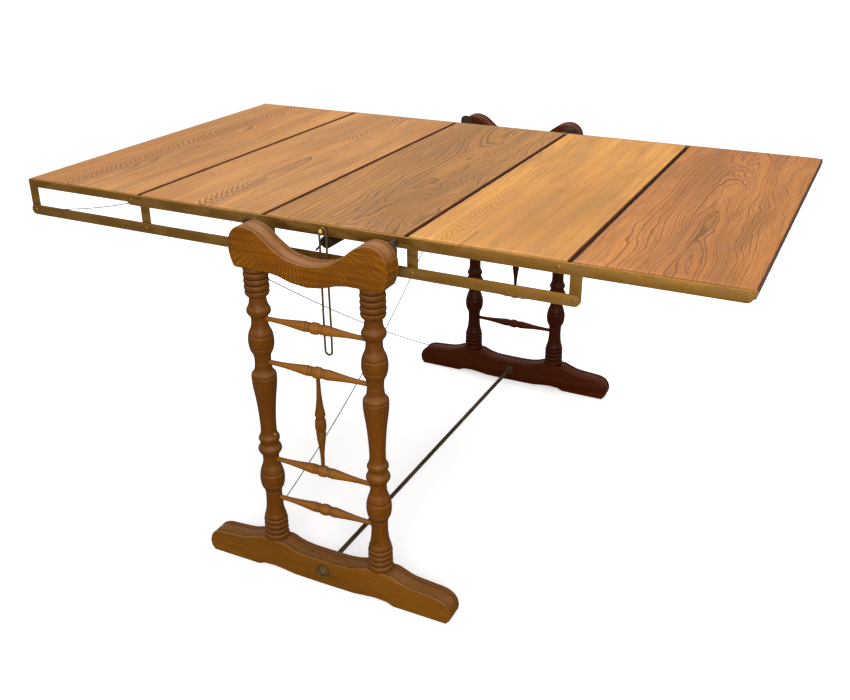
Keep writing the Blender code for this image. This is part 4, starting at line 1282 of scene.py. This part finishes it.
def twist(name, route, start, turns, like, length=0.022):
    """A helix round the wire, from its start (0) or from its end (-1)."""
    line = route if start == 0 else route[::-1]
    along = (line[1] - line[0]).normalized()
    side_way = along.orthogonal().normalized()
    other = along.cross(side_way)
    coil = []
    steps = turns * TURN_STEPS
    for step in range(steps + 1):
        angle = math.tau * step / TURN_STEPS
        reach = 0.0016 + 0.0004 * step / steps
        spot = line[0] + along * (0.006 + length * step / steps)
        coil.append(spot + reach * (math.cos(angle) * side_way + math.sin(angle) * other))
    settle(wire_piece(name, coil, TWIST_WIRE), steel, like=like)


for number, (top_sign, _, _) in BRACES.items():
    top, low = brace_eyes(number)
    screw_eye(number, "top", top, (0, 0, 1))
    screw_eye(number, "low", low, (0, -top_sign, 0))
    route = ROUTES[f"brace_wire_{number}"][0]
    twist(f"brace_twist_{number}_top", route, 0, 6, f"brace_wire_{number}")
    twist(f"brace_twist_{number}_low", route[:-1], -1, 6, f"brace_wire_{number}")
twist("stay_twist_left", ROUTES["stay_wire"][0], -1, 4, "stay_wire", 0.014)
print("screw eyes 4, twists 5")

# %% [markdown]
# ## Studio
# A plain pale floor, a pale surround and two large soft lamps: one overhead that brightens the boards, and
# another at the front right that models the turned posts. The floor and the surround look white to the
# viewer, but light the table less than white ones would, so that the top shades the far trestle.

# %% Floor and light
FLOOR_HALF = 9
FLOOR_DROP = 0.0005
FLOOR_BOUNCE = (0.30, 0.28, 0.25)
FLOOR_GLOW = 0.45
SURROUND = 0.62
BACKDROP = 1.1
corners = [(FLOOR_HALF * x, FLOOR_HALF * y, 0) for x, y in ((-1, -1), (1, -1), (1, 1), (-1, 1))]
floor_mesh = bpy.data.meshes.new("floor")
floor_mesh.from_pydata(corners, [], [(0, 1, 2, 3)])
floor = bpy.data.objects.new("floor", floor_mesh)
bpy.context.scene.collection.objects.link(floor)
floor.location.z = -FLOOR_DROP
floor_finish, graph, shader = new_material("pale floor")
place = graph.add("TexCoord").outputs["Object"]
seen = graph.add("LightPath").outputs["Is Camera Ray"]
paper = graph.mix(graph.noise(place, (2, 2, 2), 3.0), (0.90, 0.90, 0.90), (0.93, 0.93, 0.93))
graph.feed(shader["Base Color"], graph.mix(seen, FLOOR_BOUNCE, paper))
graph.feed(shader["Roughness"], graph.between(graph.noise(place, (40, 40, 40)), 0.3, 0.7, 0.8, 0.9))
shader["Specular IOR Level"].default_value = 0.0
shader["Emission Color"].default_value = (1.0, 1.0, 1.0, 1.0)
graph.feed(shader["Emission Strength"], graph.math("MULTIPLY", seen, FLOOR_GLOW))
floor_mesh.materials.append(floor_finish)

world = bpy.data.worlds.new("studio")
bpy.context.scene.world = world
world.use_nodes = True
graph = Graph(world.node_tree)
backdrop = world.node_tree.nodes["Background"].inputs
backdrop["Color"].default_value = (0.97, 0.985, 1.0, 1.0)
seen = graph.add("LightPath").outputs["Is Camera Ray"]
graph.feed(backdrop["Strength"], graph.between(seen, 0.0, 1.0, SURROUND, BACKDROP))


def soft_lamp(name, place, aim, size, energy):
    lamp = bpy.data.lights.new(name, "AREA")
    lamp.shape = "RECTANGLE"
    lamp.size, lamp.size_y = size
    lamp.energy = energy
    lamp_object = bpy.data.objects.new(name, lamp)
    bpy.context.scene.collection.objects.link(lamp_object)
    lamp_object.location = place
    lamp_object.rotation_euler = (Vector(aim) - Vector(place)).to_track_quat("-Z", "Y").to_euler()


soft_lamp("overhead lamp", (-0.6, 0.6, 3.2), (0, 0, 0.6), (2.6, 2.6), 75)
soft_lamp("front lamp", (1.5, -3.0, 1.7), (0, -0.4, 0.4), (2.2, 2.0), 95)
bpy.context.scene.view_settings.view_transform = "Standard"
